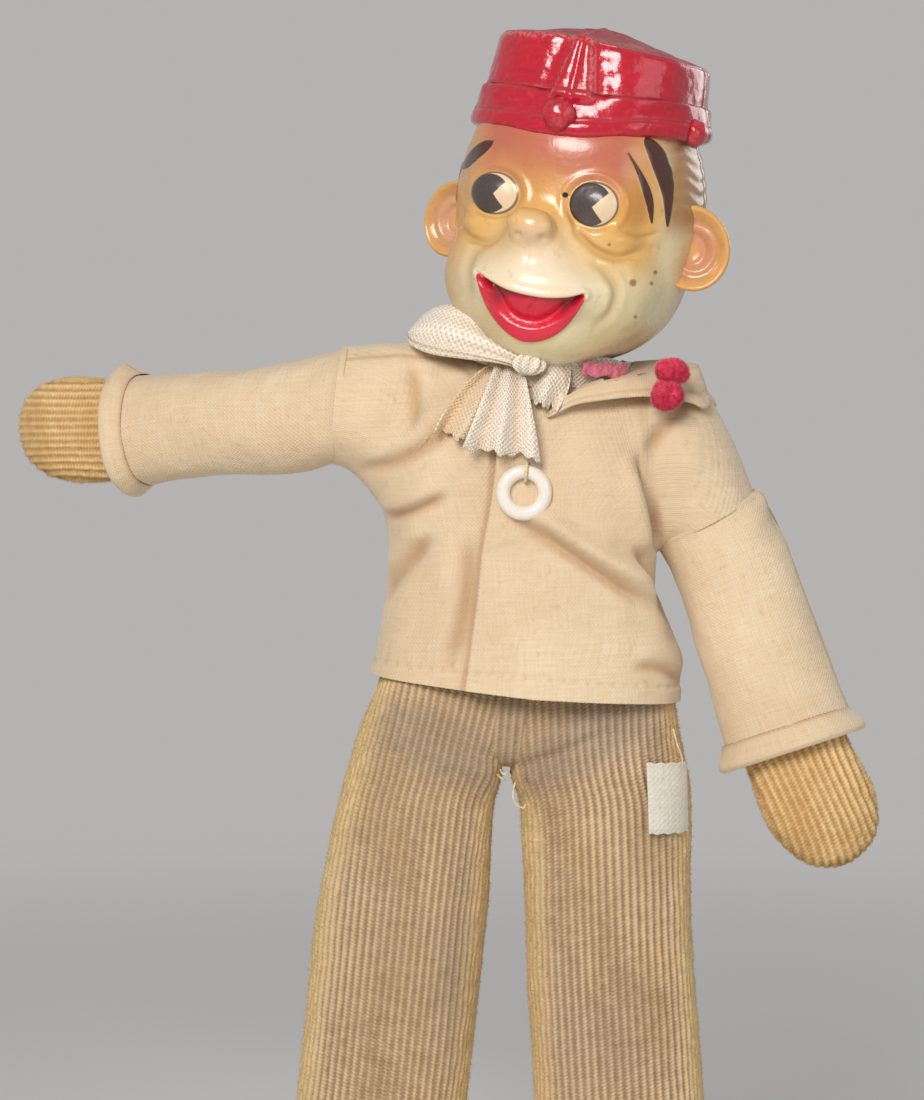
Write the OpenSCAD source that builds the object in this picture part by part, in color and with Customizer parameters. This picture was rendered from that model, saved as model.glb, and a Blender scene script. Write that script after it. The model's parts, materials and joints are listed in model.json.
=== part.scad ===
// Stuffed cloth monkey in bellhop dress: moulded two-shell head on a grooved neck plug,
// wire armature inside stuffing, loose jacket, corduroy trousers, board soles.
// Millimetres, +Z up, the face towards -Y. Right and left are the monkey's own: right is -X.

/* [Whole figure] */
// Middle of the pelvis, sideways from the middle of the outer box
pelvis_x = 21.4; // [15:0.1:25]
// Middle of the pelvis, backwards from the middle of the outer box
pelvis_y = -4.1; // [-6:0.1:6]
// Height of the hip rod above the floor
hip_z = 141; // [135:1:147]
// Sideways lean of the torso over the hips, degrees
lean = 5; // [0:0.5:6]

/* [Cloth and stuffing] */
// Thickness of the corduroy and of the body lining
skin_t = 0.8; // [0.6:0.1:1]
// Thickness of the jacket cotton
jacket_t = 0.8; // [0.6:0.1:1]
// Gap left between two layers of cloth
ease = 0.2; // [0.15:0.05:0.3]

/* [Torso] */
// Half width of the stuffed chest
chest_a = 23; // [22:0.5:23.5]
// Half depth of the stuffed chest
chest_b = 18; // [16:0.5:19]
// Half width of the stuffed pelvis
pelvis_a = 29.5; // [29:0.5:30]
// Half depth of the stuffed pelvis
pelvis_b = 18; // [17:0.5:19]
// Height of the waist above the hip rod
waist_h = 38; // [34:1:42]
// Height of the armpits above the hip rod
chest_h = 60; // [58:1:62]
// Height of the base of the neck above the hip rod
torso_h = 79; // [78:0.5:80]

/* [Jacket] */
// Height of the hem above the hip rod
hem_h = 9; // [8.5:0.5:12]
// Half width of the jacket at the hem
hem_a = 38.2; // [37.2:0.2:38.6]
// Half depth of the jacket at the hem
hem_b = 21.5; // [21.5:0.5:23]
// Front edge of the left panel, sideways from the middle
overlap_x = -14; // [-17:1:-8]
// Radius of the turned-down collar round the neck
collar_r = 25; // [22:0.5:26]

/* [Head] */
// Height of the neck opening above the hip rod
neck_h = 87.5; // [87:0.5:89]
// Turn of the face away from the front, degrees
head_yaw = -20; // [-30:1:0]
// Tilt of the head to the monkey's left, degrees
head_roll = 7; // [4:0.5:8]
// Forward nod of the head, degrees
head_pitch = 5; // [2:0.5:6]
// Radius of the skull
skull_r = 26.5; // [26:0.5:27]
// Height of the middle of the skull above the neck opening
skull_h = 28; // [27.5:0.5:28.5]
// Radius of the muzzle
muzzle_r = 16.5; // [16:0.5:17]
// Wall of the moulded shells
shell_t = 1.2; // [1:0.1:1.5]
// Radius of the round ears
ear_r = 9.4; // [9:0.2:10]
// Height of the ears above the neck opening
ear_h = 27; // [26:0.5:29]
// Radius of the brim roll of the moulded hat
brim_r = 27.4; // [27:0.1:28]
// Height of the brim above the neck opening
hat_h = 47; // [46:0.5:48]
// Height of the top ridge of the hat above the neck opening
hat_top = 71.6; // [71:0.1:73]
// Radius of the neck opening
neck_r = 8.3; // [8:0.1:9]

/* [Arms] */
// Distance of each shoulder eye from the middle
shoulder_x = 30; // [29:0.5:31]
// Height of the shoulder eyes above the hip rod
shoulder_h = 72; // [71:0.5:73]
// Raise of the right arm from straight down, degrees
raise_right = 81; // [60:1:100]
// Raise of the left arm from straight down, degrees
raise_left = 23; // [18:1:60]
// Sweep of the right arm backwards, degrees
sweep_right = 25; // [0:1:35]
// Sweep of the left arm backwards, degrees
sweep_left = -8; // [-20:1:10]
// Length of the shoulder link, raise pin to sweep pin
link_len = 15; // [15:0.5:16]
// Sweep pin to the tip of the mitten
arm_len = 90; // [86:1:94]
// Sweep pin to the end of the sleeve
sleeve_len = 60; // [56:1:64]
// Half width of the sleeve at the cuff
cuff_a = 14; // [13.5:0.5:15]
// Half depth of the sleeve at the cuff
cuff_b = 11.5; // [11:0.5:12]
// Half width of the mitten
mitten_a = 12.4; // [12:0.2:12.6]
// Half depth of the mitten
mitten_b = 9; // [8.5:0.5:9.5]

/* [Legs] */
// Distance of each leg from the middle at the hip rod
hip_x = 18.5; // [18.5:0.5:19]
// Outward splay of the right leg, degrees
splay_right = 6.3; // [2:0.1:8]
// Outward splay of the left leg, degrees
splay_left = 3.1; // [2:0.1:8]
// Radius of the stuffed top of each leg round the hip rod
thigh_r = 13; // [12.5:0.5:13]
// Half width of the stuffed top of each leg
thigh_a = 14.6; // [14:0.2:14.6]
// Half width of the trouser leg at its hem
leg_hem_a = 20.5; // [19:0.5:21]
// Half depth of the trouser leg at its hem
leg_hem_b = 14; // [13:0.5:15]
// Height of the trouser hem above the floor
leg_hem_z = 15.5; // [15:0.5:18]
// Length of each foot
foot_len = 50; // [46:1:54]
// Width of each foot
foot_w = 28; // [26:1:30]
// Height of each foot
foot_h = 15; // [14:0.5:15]
// Thickness of the board soles
sole_t = 2; // [1.5:0.5:2.5]

/* [Ring button] */
// Outer diameter of the pearl ring
ring_d = 12.2; // [11:0.2:13]
// Diameter of its hole
ring_hole = 6; // [5.4:0.2:6.6]
// Height of the top of the ring above the hip rod
ring_h = 61.5; // [58:0.5:62]
// Place of the ring sideways from the middle
ring_x = -6; // [-8:0.2:-4]

/* [Armature] */
// Radius of the steel wire
wire_r = 1; // [0.9:0.1:1.1]
// Radius of the joint pins
pin_r = 0.85; // [0.8:0.05:0.9]
// Radial running clearance of pins and wires in their holes
run = 0.05; // [0.04:0.01:0.08]
// Outer radius of the wire eyes
eye_r = 2.6; // [2.4:0.1:2.8]

/* [Hidden] */
$fn = 48;
right = -1;
left = 1;
big = 200;
thin = 0.4;                                    // slices that a cloth form is hulled over
fine = 24;                                     // facets of a slice
pad_r = 10.4;                                  // soft ball round the raise pin
socket_r = 11.1;                               // room for that ball in the torso
arm_r = 9.2;                                   // round inner end of the stuffed arm
jacket_gap = skin_t + 2 * ease;                // stuffing to the inside of the jacket
jacket_out = jacket_gap + jacket_t;            // stuffing to the outside of the jacket
min_raise = 19;                                // lowest the arms hang, degrees
max_hip = 70;                                  // furthest the thighs come forward, degrees
min_hip = 22;                                  // furthest they go back, degrees
cheek_in = wire_r + 0.15;                      // fork cheeks, inside and outside
cheek_out = cheek_in + 0.9;
spine_y = 2.2;                                 // spine wire behind the cross wire
stem = 13.5;                                   // stem of the neck plug below the neck opening
pocket = cheek_out + 0.4;                      // half of the slot left for a fork
ring_w = (ring_d - ring_hole) / 2;             // width of the ring's section
ring_y = -chest_b - jacket_out - 2.6;          // middle of the hanging ring
red = "#b3172d";
cotton = "#e9cba6";
tan = "#b88f4d";
olive = "#94805c";
steel = "#8a8d90";

function side_name(s) = s == right ? "right" : "left";
function raise_of(s) = s == right ? raise_right : raise_left;
function sweep_of(s) = s == right ? sweep_right : sweep_left;
function splay_of(s) = s == right ? splay_right : splay_left;
function ankle_x(s) = pelvis_x + s * (hip_x + (hip_z - foot_h) * tan(splay_of(s)));

// frames: each puts its children where that part of the figure is
module in_torso() translate([pelvis_x, pelvis_y, hip_z]) rotate([0, lean, 0]) children();
module on_neck() in_torso() translate([0, -2, neck_h]) rotate([head_pitch, head_roll - lean, 0]) children();
module in_head() on_neck() rotate([0, 0, head_yaw]) children();
module at_shoulder(s, angle) translate([s * shoulder_x, 0, shoulder_h]) rotate([0, -s * angle, 0]) children();
module in_link(s) in_torso() at_shoulder(s, raise_of(s)) children();
module in_arm(s) in_link(s) translate([0, 0, -link_len]) rotate([sweep_of(s), 0, 0]) children();
module at_hip(s) translate([pelvis_x + s * hip_x, pelvis_y, hip_z]) children();
module in_leg(s) at_hip(s) rotate([0, -s * splay_of(s), 0]) children();
module at_foot(s) translate([ankle_x(s), pelvis_y, 0]) children();
module along_x() rotate([0, 90, 0]) children();
module along_y() rotate([90, 0, 0]) children();

module slice(z, a, b) translate([0, 0, z - thin / 2]) scale([a, b, 1]) cylinder(r = 1, h = thin, $fn = fine);

// torso: waist and pelvis below, chest and shoulders above
module torso_form(g) {
    hull() {
        slice(2, pelvis_a + g, pelvis_b + g);
        slice(12, pelvis_a + g, pelvis_b + g);
        slice(waist_h, chest_a + g, chest_b + g);
    }
    hull() {
        slice(waist_h - thin, chest_a + g, chest_b + g);
        slice(chest_h, chest_a + g, chest_b + g);
        slice(chest_h + 13, chest_a - 1.5 + g, chest_b - 3 + g);
        slice(torso_h + g, 11 + g, 10 + g);
    }
}

// loose jacket over the torso, out to g from its own outer face
module jacket_form(g) {
    hull() {
        slice(hem_h - (g < 0 ? 3 : 0), hem_a + g, hem_b + g);
        slice(waist_h, chest_a + jacket_out + 1 + g, chest_b + jacket_out + 1 + g);
    }
    hull() {
        slice(waist_h - thin, chest_a + jacket_out + 1 + g, chest_b + jacket_out + 1 + g);
        slice(chest_h, chest_a + jacket_out + g, chest_b + jacket_out + g);
        slice(chest_h + 13, chest_a - 1.5 + jacket_out + g, chest_b - 3 + jacket_out + g);
        slice(torso_h + jacket_out + g, 11 + jacket_out + g, 10 + jacket_out + g);
    }
}

// room that the ball of the shoulder and the hanging upper arm need beside the torso
module arm_room(s) {
    translate([s * shoulder_x, 0, shoulder_h]) sphere(r = socket_r);
    hull() {
        at_shoulder(s, min_raise) translate([0, 0, -4]) sphere(r = socket_r, $fn = fine);
        at_shoulder(s, min_raise) translate([0, 0, -link_len - 25]) sphere(r = cuff_a, $fn = fine);
    }
}

// room that the thighs need under the pelvis: their round tops and the forward swing
module thigh_room() translate([pelvis_x, pelvis_y, hip_z]) {
    reach = thigh_r + skin_t + 2 * ease;
    wide = 2 * (hip_x + leg_hem_a);
    along_x() cylinder(r = reach, h = 2 * (hip_x + thigh_a + skin_t + 4 * ease), center = true);
    rotate([90 - max_hip, 0, 0]) translate([-wide / 2, -big, -big + reach + 0.5]) cube([wide, big, big]);
    rotate([min_hip, 0, 0]) translate([-wide / 2, 0, -big]) cube([wide, reach + 0.3, big]);
}

// head: skull, muzzle and moulded hat, out to g from the outer face
module head_form(g) {
    translate([0, 0, skull_h]) along_y() sphere(r = skull_r + g, $fn = 96);
    translate([0, -15.5, 13.5]) sphere(r = muzzle_r + g, $fn = 96);
    translate([0, 0, 30]) cylinder(r = skull_r - 0.6 + g, h = hat_h - 28);
    translate([0, 0, hat_h - g]) cylinder(r = brim_r + g, h = 5.5 + 2 * g);
    translate([0, 0, hat_h - g]) cylinder(r = brim_r - 0.9 + g, h = 18 + 2 * g);
    translate([0, 0, hat_h + 18 + g]) cylinder(r1 = brim_r - 0.9 + g, r2 = 7 + g, h = hat_top - hat_h - 18);
}

module ears() {
    for (s = [-1, 1])
        translate([s * (skull_r + 0.6), 2.5, ear_h]) along_y() cylinder(r = ear_r, h = 4.6, center = true);
}

module head_shell() {
    difference() {
        union() {
            head_form(0);
            ears();
        }
        head_form(-shell_t);
        translate([0, 0, -10]) cylinder(r = neck_r, h = 20);
    }
}

module head_front_shell() color("#dbb27c") in_head() difference() {
    head_shell();
    translate([-big / 2, 2.5, -50]) cube([big, big, big]);
}

module head_back_shell() color("#d9b184") in_head() intersection() {
    head_shell();
    translate([-big / 2, 2.5, -50]) cube([big, big, big]);
}

// turned wooden plug: stem in the torso, groove for the string, head held under the flange
module neck_plug() color("#c9a26a") on_neck() difference() {
    union() {
        translate([0, 0, -stem]) cylinder(r = 6, h = stem + 0.5);
        cylinder(r = neck_r - 2 * run, h = 5.5);
        translate([0, 0, 5.5]) cylinder(r = 10.4, h = 2.5);
    }
    translate([0, 0, -1.6]) rotate_extrude() translate([6.3, 0]) circle(r = 0.9, $fn = 24);
}

module neck_string() color("ivory") on_neck() translate([0, 0, -1.6]) rotate_extrude()
    translate([6.3, 0]) circle(r = 0.8, $fn = 24);

module torso_stuffing() color("#e8e2d2") difference() {
    in_torso() difference() {
        torso_form(0);
        for (s = [right, left]) arm_room(s);
        wire_holes();
        plug_hole(run);
    }
    thigh_room();
}

module torso_skin() color("#d8c29a") difference() {
    in_torso() difference() {
        torso_form(ease + skin_t);
        torso_form(ease);
        for (s = [right, left]) arm_room(s);
        wire_holes();
        plug_hole(ease);
    }
    thigh_room();
}

module plug_hole(gap) translate([0, -2, neck_h]) rotate([head_pitch, head_roll - lean, 0])
    translate([0, 0, -stem - gap]) cylinder(r = 6 + gap, h = 40);

module wire_holes() {
    translate([0, 0, shoulder_h]) along_x() cylinder(r = wire_r + run, h = 2 * shoulder_x, center = true);
    translate([0, spine_y, -5]) cylinder(r = wire_r + run, h = shoulder_h + 5);
}

// spine wire, with the eye that holds the hip rod at its foot
module spine_wire() color(steel) difference() {
    union() {
        in_torso() translate([0, spine_y, 3]) cylinder(r = wire_r, h = shoulder_h - 6);
        in_torso() translate([0, 1.1, 0]) cylinder(r = wire_r, h = 3.4);
        in_torso() translate([0, 1.8, 3]) sphere(r = wire_r + 0.3);
        translate([pelvis_x, pelvis_y, hip_z]) along_x() cylinder(r = eye_r, h = 3, center = true);
    }
    translate([pelvis_x, pelvis_y, hip_z]) along_x() cylinder(r = wire_r, h = 4, center = true);
}

module hip_rod() color(steel) translate([pelvis_x, pelvis_y, hip_z]) along_x()
    cylinder(r = wire_r, h = 2 * (hip_x + thigh_a - 2), center = true);

// cross wire through the chest, an eye for each arm at its ends
module shoulder_wire() color(steel) in_torso() translate([0, 0, shoulder_h]) difference() {
    union() {
        along_x() cylinder(r = wire_r, h = 2 * (shoulder_x - 1.5), center = true);
        for (s = [right, left]) translate([s * shoulder_x, 0, 0]) along_y() cylinder(r = eye_r, h = 2 * wire_r, center = true);
    }
    for (s = [right, left]) translate([s * shoulder_x, 0, 0]) along_y() cylinder(r = pin_r + run, h = 4, center = true);
}

module jacket_shell() difference() {
    jacket_form(0);
    jacket_form(-jacket_t);
    for (s = [right, left]) arm_room(s);
    plug_hole(3);
}

module jacket_back() color(cotton) difference() {
    in_torso() intersection() {
        jacket_shell();
        translate([-big / 2, 0.05, 0]) cube([big, big, big]);
    }
    thigh_room();
}

module jacket_front_right() color(cotton) difference() {
    in_torso() intersection() {
        jacket_shell();
        translate([overlap_x - big - 0.05, -big, 0]) cube([big, big - 0.05, big]);
    }
    thigh_room();
}

module jacket_front_left() color(cotton) difference() {
    in_torso() intersection() {
        jacket_shell();
        translate([overlap_x + 0.05, -big, 0]) cube([big, big - 0.05, big]);
    }
    thigh_room();
}

// collar: a second layer lying on the shoulders round the neck
module jacket_collar() color(cotton) in_torso() intersection() {
    difference() {
        jacket_form(ease + 1);
        jacket_form(ease);
        for (s = [right, left]) arm_room(s);
        plug_hole(8.4);
    }
    translate([0, 0, chest_h + 11]) cylinder(r = collar_r, h = 30);
}

module neck_ribbon() color("#e0bd93") on_neck() translate([0, 0, -4.9]) difference() {
    cylinder(r = 11.6, h = 2);
    translate([0, 0, -1]) cylinder(r = 7.6, h = 4);
}

// felt strip tucked beside the ribbon on the left of the neck
module neck_trim() color("#c9566a") on_neck() translate([0, 0, -4.9]) intersection() {
    difference() {
        cylinder(r = 13.4, h = 1.6);
        translate([0, 0, -1]) cylinder(r = 11.9, h = 4);
    }
    translate([2, -20, -1]) cube([20, 22, 4]);
}

// a flat piece of ribbon: widths w1 and w2 at its ends p1 and p2, out from the chest by layer
module ribbon_piece(p1, w1, p2, w2, layer) in_torso() translate([0, -layer, 0]) hull() {
    translate(p1) cube([w1, 0.9, 0.6], center = true);
    translate(p2) cube([w2, 0.9, 0.6], center = true);
}

module bow_knot() color("#e2c29b") in_torso() translate([-8, -20.2, 79.4]) scale([4.4, 2.2, 3]) sphere(r = 1, $fn = 24);

module bow_loop() color("#e2c29b") in_torso() translate([-20, -14.5, 82.8]) scale([6.8, 3.6, 1.9]) sphere(r = 1, $fn = 24);

module bow_tail_upper() color("#dcb98d") ribbon_piece([-7.5, -18.1, 75.6], 7, [-8.5, -21.1, 63.8], 12, 1.2);

module bow_tail_lower() color("#d6b184") ribbon_piece([-8.5, -18.1, 75.6], 7, [-15, -21.1, 63.8], 13, 0);

// pearl ring, hanging by its top on a thread loop sewn to the jacket
module at_ring() in_torso() translate([ring_x, ring_y, ring_h - ring_w / 2]) children();
module ring_button() color("#efe9dc") at_ring() translate([0, 0, -(ring_d - ring_w) / 2]) along_y() rotate_extrude()
    translate([(ring_d - ring_w) / 2, 0]) circle(r = ring_w / 2, $fn = 32);

module ring_thread() color("#e6d2b0") at_ring() along_x() rotate_extrude() translate([ring_w / 2 + 0.65, 0])
    circle(r = 0.35, $fn = 16);

// two tufts of red yarn on the left point of the collar
module collar_pompom() color(red) in_torso() translate([23.6, -15, 0]) {
    translate([0, 0, 80]) sphere(r = 3.6);
    translate([0, 0, 74.8]) sphere(r = 3.9);
}

// seat of the trousers, under the jacket, open below for the thighs
module trouser_seat() color(olive) difference() {
    in_torso() difference() {
        hull() {
            slice(0, pelvis_a + 3.4, pelvis_b + 2);
            slice(18, pelvis_a + 1.8, pelvis_b + 1.8);
        }
        torso_form(2 * ease + skin_t);
    }
    thigh_room();
}

// small bare label lying on the front of the left leg, sewn to its outer seam
module label_tag() color("white") in_leg(left)
    translate([thigh_a - 9.8, -leg_hem_b - 0.6, -21]) cube([10, 0.4, 16]);

// ---- arms ----
module shoulder_pad(s) color(cotton) in_link(s) difference() {
    sphere(r = pad_r);
    translate([0, 0, -link_len]) sphere(r = arm_r + skin_t + 2 * ease);
    cube([big, 2 * pocket, big], center = true);
}

module shoulder_link(s) color(steel) in_link(s) difference() {
    union() {
        along_y() cylinder(r = pin_r, h = 2 * cheek_out, center = true);
        for (m = [-1, 1]) {
            translate([0, m * (cheek_in + cheek_out) / 2, 0]) along_y() cylinder(r = 2.2, h = cheek_out - cheek_in, center = true);
            translate([0, m * (cheek_in + cheek_out) / 2, -3]) cube([2.4, cheek_out - cheek_in, 6], center = true);
        }
        translate([0, 0, -5.2]) cube([2, 2 * cheek_out, 2.4], center = true);
        translate([0, 0, -9]) cube([2, 2, 8], center = true);
        translate([0, 0, -link_len]) along_x() cylinder(r = eye_r, h = 2 * wire_r, center = true);
    }
    translate([0, 0, -link_len]) along_x() cylinder(r = pin_r + run, h = 4, center = true);
}

module arm_form(g) hull() {
    sphere(r = arm_r + g, $fn = fine);
    slice(-50, mitten_a - 0.8 + g, mitten_b + g);
    translate([0, 0, -arm_len + 12]) scale([mitten_a + g, mitten_b + g, 11 + g]) sphere(r = 1, $fn = fine);
}

// slot for the fork and for the swing of the link, and the bore of the wire
module arm_slots() {
    translate([-pocket, -big / 2, -6]) cube([2 * pocket, big, big]);
    translate([0, 0, -arm_len + 9]) cylinder(r = wire_r + run, h = arm_len);
    translate([0, 0, -4]) cube([2 * pocket, 6, 10], center = true);
}

module arm_stuffing(s) color("#e8e2d2") in_arm(s) difference() {
    arm_form(-skin_t - ease);
    arm_slots();
}

module arm_skin(s) color(tan) in_arm(s) difference() {
    arm_form(0);
    arm_form(-skin_t);
    arm_slots();
}

module arm_wire(s) color(steel) in_arm(s) {
    along_x() cylinder(r = pin_r, h = 2 * cheek_out, center = true);
    for (m = [-1, 1]) {
        translate([m * (cheek_in + cheek_out) / 2, 0, 0]) along_x() cylinder(r = 2.2, h = cheek_out - cheek_in, center = true);
        translate([m * (cheek_in + cheek_out) / 2, 0, -3]) cube([cheek_out - cheek_in, 2.4, 6], center = true);
    }
    translate([0, 0, -5]) cube([2 * cheek_out, 2, 2.4], center = true);
    translate([0, 0, -arm_len + 10]) cylinder(r = wire_r, h = arm_len - 15.5);
}

module sleeve_form(g, from, to) hull() {
    slice(from, arm_r + skin_t + ease + jacket_t + 0.8 + g, arm_r + skin_t + ease + jacket_t + 0.6 + g);
    slice(-30, cuff_a - 0.6 + g, cuff_b - 0.2 + g);
    slice(to, cuff_a + g, cuff_b + g);
}

module sleeve(s) color(cotton) in_arm(s) difference() {
    sleeve_form(0, -5, -sleeve_len);
    sleeve_form(-jacket_t, -4.4, -sleeve_len - 1);
    arm_form(ease);
}

// turned-up hem round the end of the sleeve
module cuff(s) color(cotton) in_arm(s) difference() {
    hull() {
        slice(-sleeve_len + 5, cuff_a + 0.9, cuff_b + 0.9);
        slice(-sleeve_len - 0.6, cuff_a + 0.9, cuff_b + 0.9);
    }
    sleeve_form(0.1, -5, -sleeve_len - 2);
}

// ---- legs ----
module leg_form(s, g, z) hull() {
    at_hip(s) along_x() cylinder(r = thigh_r + g, h = 2 * (thigh_a + g), center = true, $fn = 40);
    in_leg(s) slice(z - hip_z, leg_hem_a - skin_t - ease + g, leg_hem_b - skin_t - ease + g);
}

module leg_holes(s) {
    at_hip(s) along_x() cylinder(r = wire_r + run, h = 2 * thigh_a - 1.6, center = true);
    at_hip(s) translate([-s * thigh_a / 2, 0, 0]) along_x() cylinder(r = wire_r + run, h = thigh_a * 2, center = true);
    at_hip(s) along_x() cylinder(r = eye_r + run, h = 3.2, center = true);
    in_leg(s) translate([0, 0, -big]) cylinder(r = wire_r + run, h = big);
}

module leg_stuffing(s) color("#e8e2d2") difference() {
    leg_form(s, 0, foot_h + 2.6);
    leg_holes(s);
}

module trouser_leg(s) color(olive) difference() {
    leg_form(s, skin_t + ease, leg_hem_z);
    leg_form(s, ease, leg_hem_z - 2);
    leg_holes(s);
}

module leg_wire(s) color(steel) difference() {
    union() {
        at_hip(s) along_x() cylinder(r = eye_r, h = 3, center = true);
        in_leg(s) translate([0, 0, 6 - hip_z]) cylinder(r = wire_r, h = hip_z - 6);
    }
    at_hip(s) along_x() cylinder(r = wire_r + run, h = 2 * thigh_a, center = true);
}

// foot: long dome over the sole board, heel behind the ankle
module foot_form(s, g) at_foot(s) hull() {
    for (y = [foot_len * 0.36 - foot_w / 2, -foot_len * 0.64 + foot_w / 2])
        translate([0, y, sole_t + ease]) cylinder(r = foot_w / 2 + g, h = 3 + g, $fn = fine);
    translate([0, 2, 0]) slice(foot_h + g, 9 + g, 8 + g);
    translate([0, -foot_len * 0.64 + foot_w / 2, 0]) slice(foot_h - 4 + g, 7 + g, 7 + g);
}

module ankle_hole(s) in_leg(s) translate([0, 0, 6 - run - hip_z]) cylinder(r = wire_r + run, h = hip_z);

module foot_stuffing(s) color("#e8e2d2") difference() {
    foot_form(s, -skin_t - ease);
    ankle_hole(s);
}

module foot(s) color(tan) difference() {
    foot_form(s, 0);
    foot_form(s, -skin_t);
    ankle_hole(s);
}

module sole(s) color("#8d6f45") at_foot(s) linear_extrude(sole_t) hull()
    for (y = [foot_len * 0.36 - foot_w / 2, -foot_len * 0.64 + foot_w / 2])
        translate([0, y]) circle(r = foot_w / 2, $fn = 64);

head_front_shell();
head_back_shell();
neck_plug();
neck_string();
torso_stuffing();
torso_skin();
spine_wire();
shoulder_wire();
hip_rod();
jacket_back();
jacket_front_right();
jacket_front_left();
jacket_collar();
neck_ribbon();
neck_trim();
bow_knot();
bow_loop();
bow_tail_upper();
bow_tail_lower();
ring_thread();
ring_button();
collar_pompom();
trouser_seat();
label_tag();
shoulder_pad(right);  // shoulder_pad_right
shoulder_link(right);  // shoulder_link_right
arm_wire(right);  // arm_wire_right
arm_stuffing(right);  // arm_stuffing_right
arm_skin(right);  // arm_skin_right
sleeve(right);  // sleeve_right
cuff(right);  // cuff_right
shoulder_pad(left);  // shoulder_pad_left
shoulder_link(left);  // shoulder_link_left
arm_wire(left);  // arm_wire_left
arm_stuffing(left);  // arm_stuffing_left
arm_skin(left);  // arm_skin_left
sleeve(left);  // sleeve_left
cuff(left);  // cuff_left
leg_wire(right);  // leg_wire_right
leg_stuffing(right);  // leg_stuffing_right
trouser_leg(right);  // trouser_leg_right
foot_stuffing(right);  // foot_stuffing_right
foot(right);  // foot_right
sole(right);  // sole_right
leg_wire(left);  // leg_wire_left
leg_stuffing(left);  // leg_stuffing_left
trouser_leg(left);  // trouser_leg_left
foot_stuffing(left);  // foot_stuffing_left
foot(left);  // foot_left
sole(left);  // sole_left
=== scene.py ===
import bpy
import json
import numpy as np
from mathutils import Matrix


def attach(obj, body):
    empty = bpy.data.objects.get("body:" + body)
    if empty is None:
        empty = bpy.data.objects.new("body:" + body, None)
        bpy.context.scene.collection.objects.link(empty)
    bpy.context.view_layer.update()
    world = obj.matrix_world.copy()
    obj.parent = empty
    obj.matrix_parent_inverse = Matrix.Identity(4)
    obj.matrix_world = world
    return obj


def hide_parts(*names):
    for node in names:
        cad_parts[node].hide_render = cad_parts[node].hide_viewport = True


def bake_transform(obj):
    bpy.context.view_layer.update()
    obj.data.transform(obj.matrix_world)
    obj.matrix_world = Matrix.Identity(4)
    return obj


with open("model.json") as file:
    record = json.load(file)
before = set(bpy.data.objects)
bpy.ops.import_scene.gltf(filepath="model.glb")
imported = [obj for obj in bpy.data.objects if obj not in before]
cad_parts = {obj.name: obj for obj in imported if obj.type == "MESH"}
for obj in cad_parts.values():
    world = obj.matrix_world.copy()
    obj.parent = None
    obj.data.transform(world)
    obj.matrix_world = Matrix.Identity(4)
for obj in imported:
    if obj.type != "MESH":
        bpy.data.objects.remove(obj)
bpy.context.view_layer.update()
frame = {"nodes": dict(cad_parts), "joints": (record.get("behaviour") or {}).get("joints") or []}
print("frame loaded:", len(frame["nodes"]), "nodes")

mm = 0.001          # every shape below is worked out in millimetres
right, left = -1, 1  # the doll's own right is on the -X side
sideName = {right: "right", left: "left"}


# small maths

def smooth(a, b, x):
    # 0 before a, 1 after b, and an eased step between them
    t = np.clip((x - a) / (b - a), 0, 1)
    return t * t * (3 - 2 * t)


def bell(x, width):
    # a bump of height 1 at x = 0 that is about two widths wide
    return np.exp(-(x / width) ** 2)


def stacked(*parts):
    # several arrays, or numbers, side by side as the last axis of one array
    return np.stack(np.broadcast_arrays(*parts), -1)


def circle(count):
    # evenly spaced angles once round, without the first one again
    return np.linspace(0, 2 * np.pi, count, endpoint=False)


def through(points, t):
    # a smooth curve through the points (Catmull-Rom), t from 0 at the first to 1 at the last
    p = np.asarray(points, float)
    last = len(p) - 1
    s = np.clip(np.asarray(t, float), 0, 1) * last
    i = np.minimum(s.astype(int), last - 1)
    f = (s - i).reshape(s.shape + (1,) * (p.ndim - 1))
    a, b, c, d = p[np.maximum(i - 1, 0)], p[i], p[i + 1], p[np.minimum(i + 2, last)]
    return 0.5 * (2 * b + (c - a) * f + (2 * a - 5 * b + 4 * c - d) * f**2 + (3 * b - a - 3 * c + d) * f**3)


def rough(p, size, seed, octaves=3):
    # a smooth random field of about unit height: sine waves in random directions, each octave half the size
    rng = np.random.default_rng(seed)
    total = 0
    for k in range(octaves):
        way = rng.normal(size=(6, 3))
        way /= np.linalg.norm(way, axis=1)[:, None]
        start = rng.uniform(0, 2 * np.pi, 6)
        wave = np.sin(p @ way.T * (2 * np.pi * 2**k / size) + start)
        total = total + wave.sum(-1) / 3 / 1.8**k
    return total / 1.6


def toLine(xs, z, points, closed=False, samples=90):
    # distance from each (x, z) to a smooth line through the points, and where along the line that is
    if closed:
        points = list(points) + [points[0]]
    line = through(points, np.linspace(0, 1, samples))
    a, b = line[:-1], line[1:]
    best = np.full(xs.shape, 1e9)
    where = np.zeros(xs.shape)
    for k in range(len(a)):
        e = b[k] - a[k]
        dx, dz = xs - a[k, 0], z - a[k, 1]
        t = np.clip((dx * e[0] + dz * e[1]) / (e @ e + 1e-12), 0, 1)
        d = np.hypot(dx - t * e[0], dz - t * e[1])
        nearer = d < best
        best = np.where(nearer, d, best)
        where = np.where(nearer, (k + t) / len(a), where)
    return best, where


def toOutline(xs, z, points, samples=90):
    # signed distance to a closed smooth outline, below 0 inside: a ray to +X crosses an odd number of edges
    best, _ = toLine(xs, z, points, True, samples)
    line = through(list(points) + [points[0]], np.linspace(0, 1, samples))
    inside = np.zeros(xs.shape, bool)
    for (ax, az), (bx, bz) in zip(line[:-1], line[1:]):
        if az != bz:
            crosses = ((az > z) != (bz > z)) & (xs < (bx - ax) * (z - az) / (bz - az) + ax)
            inside ^= crosses
    return np.where(inside, -best, best)


def unit(v):
    # a vector divided by its own length
    return np.asarray(v, float) / np.linalg.norm(v)


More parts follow.
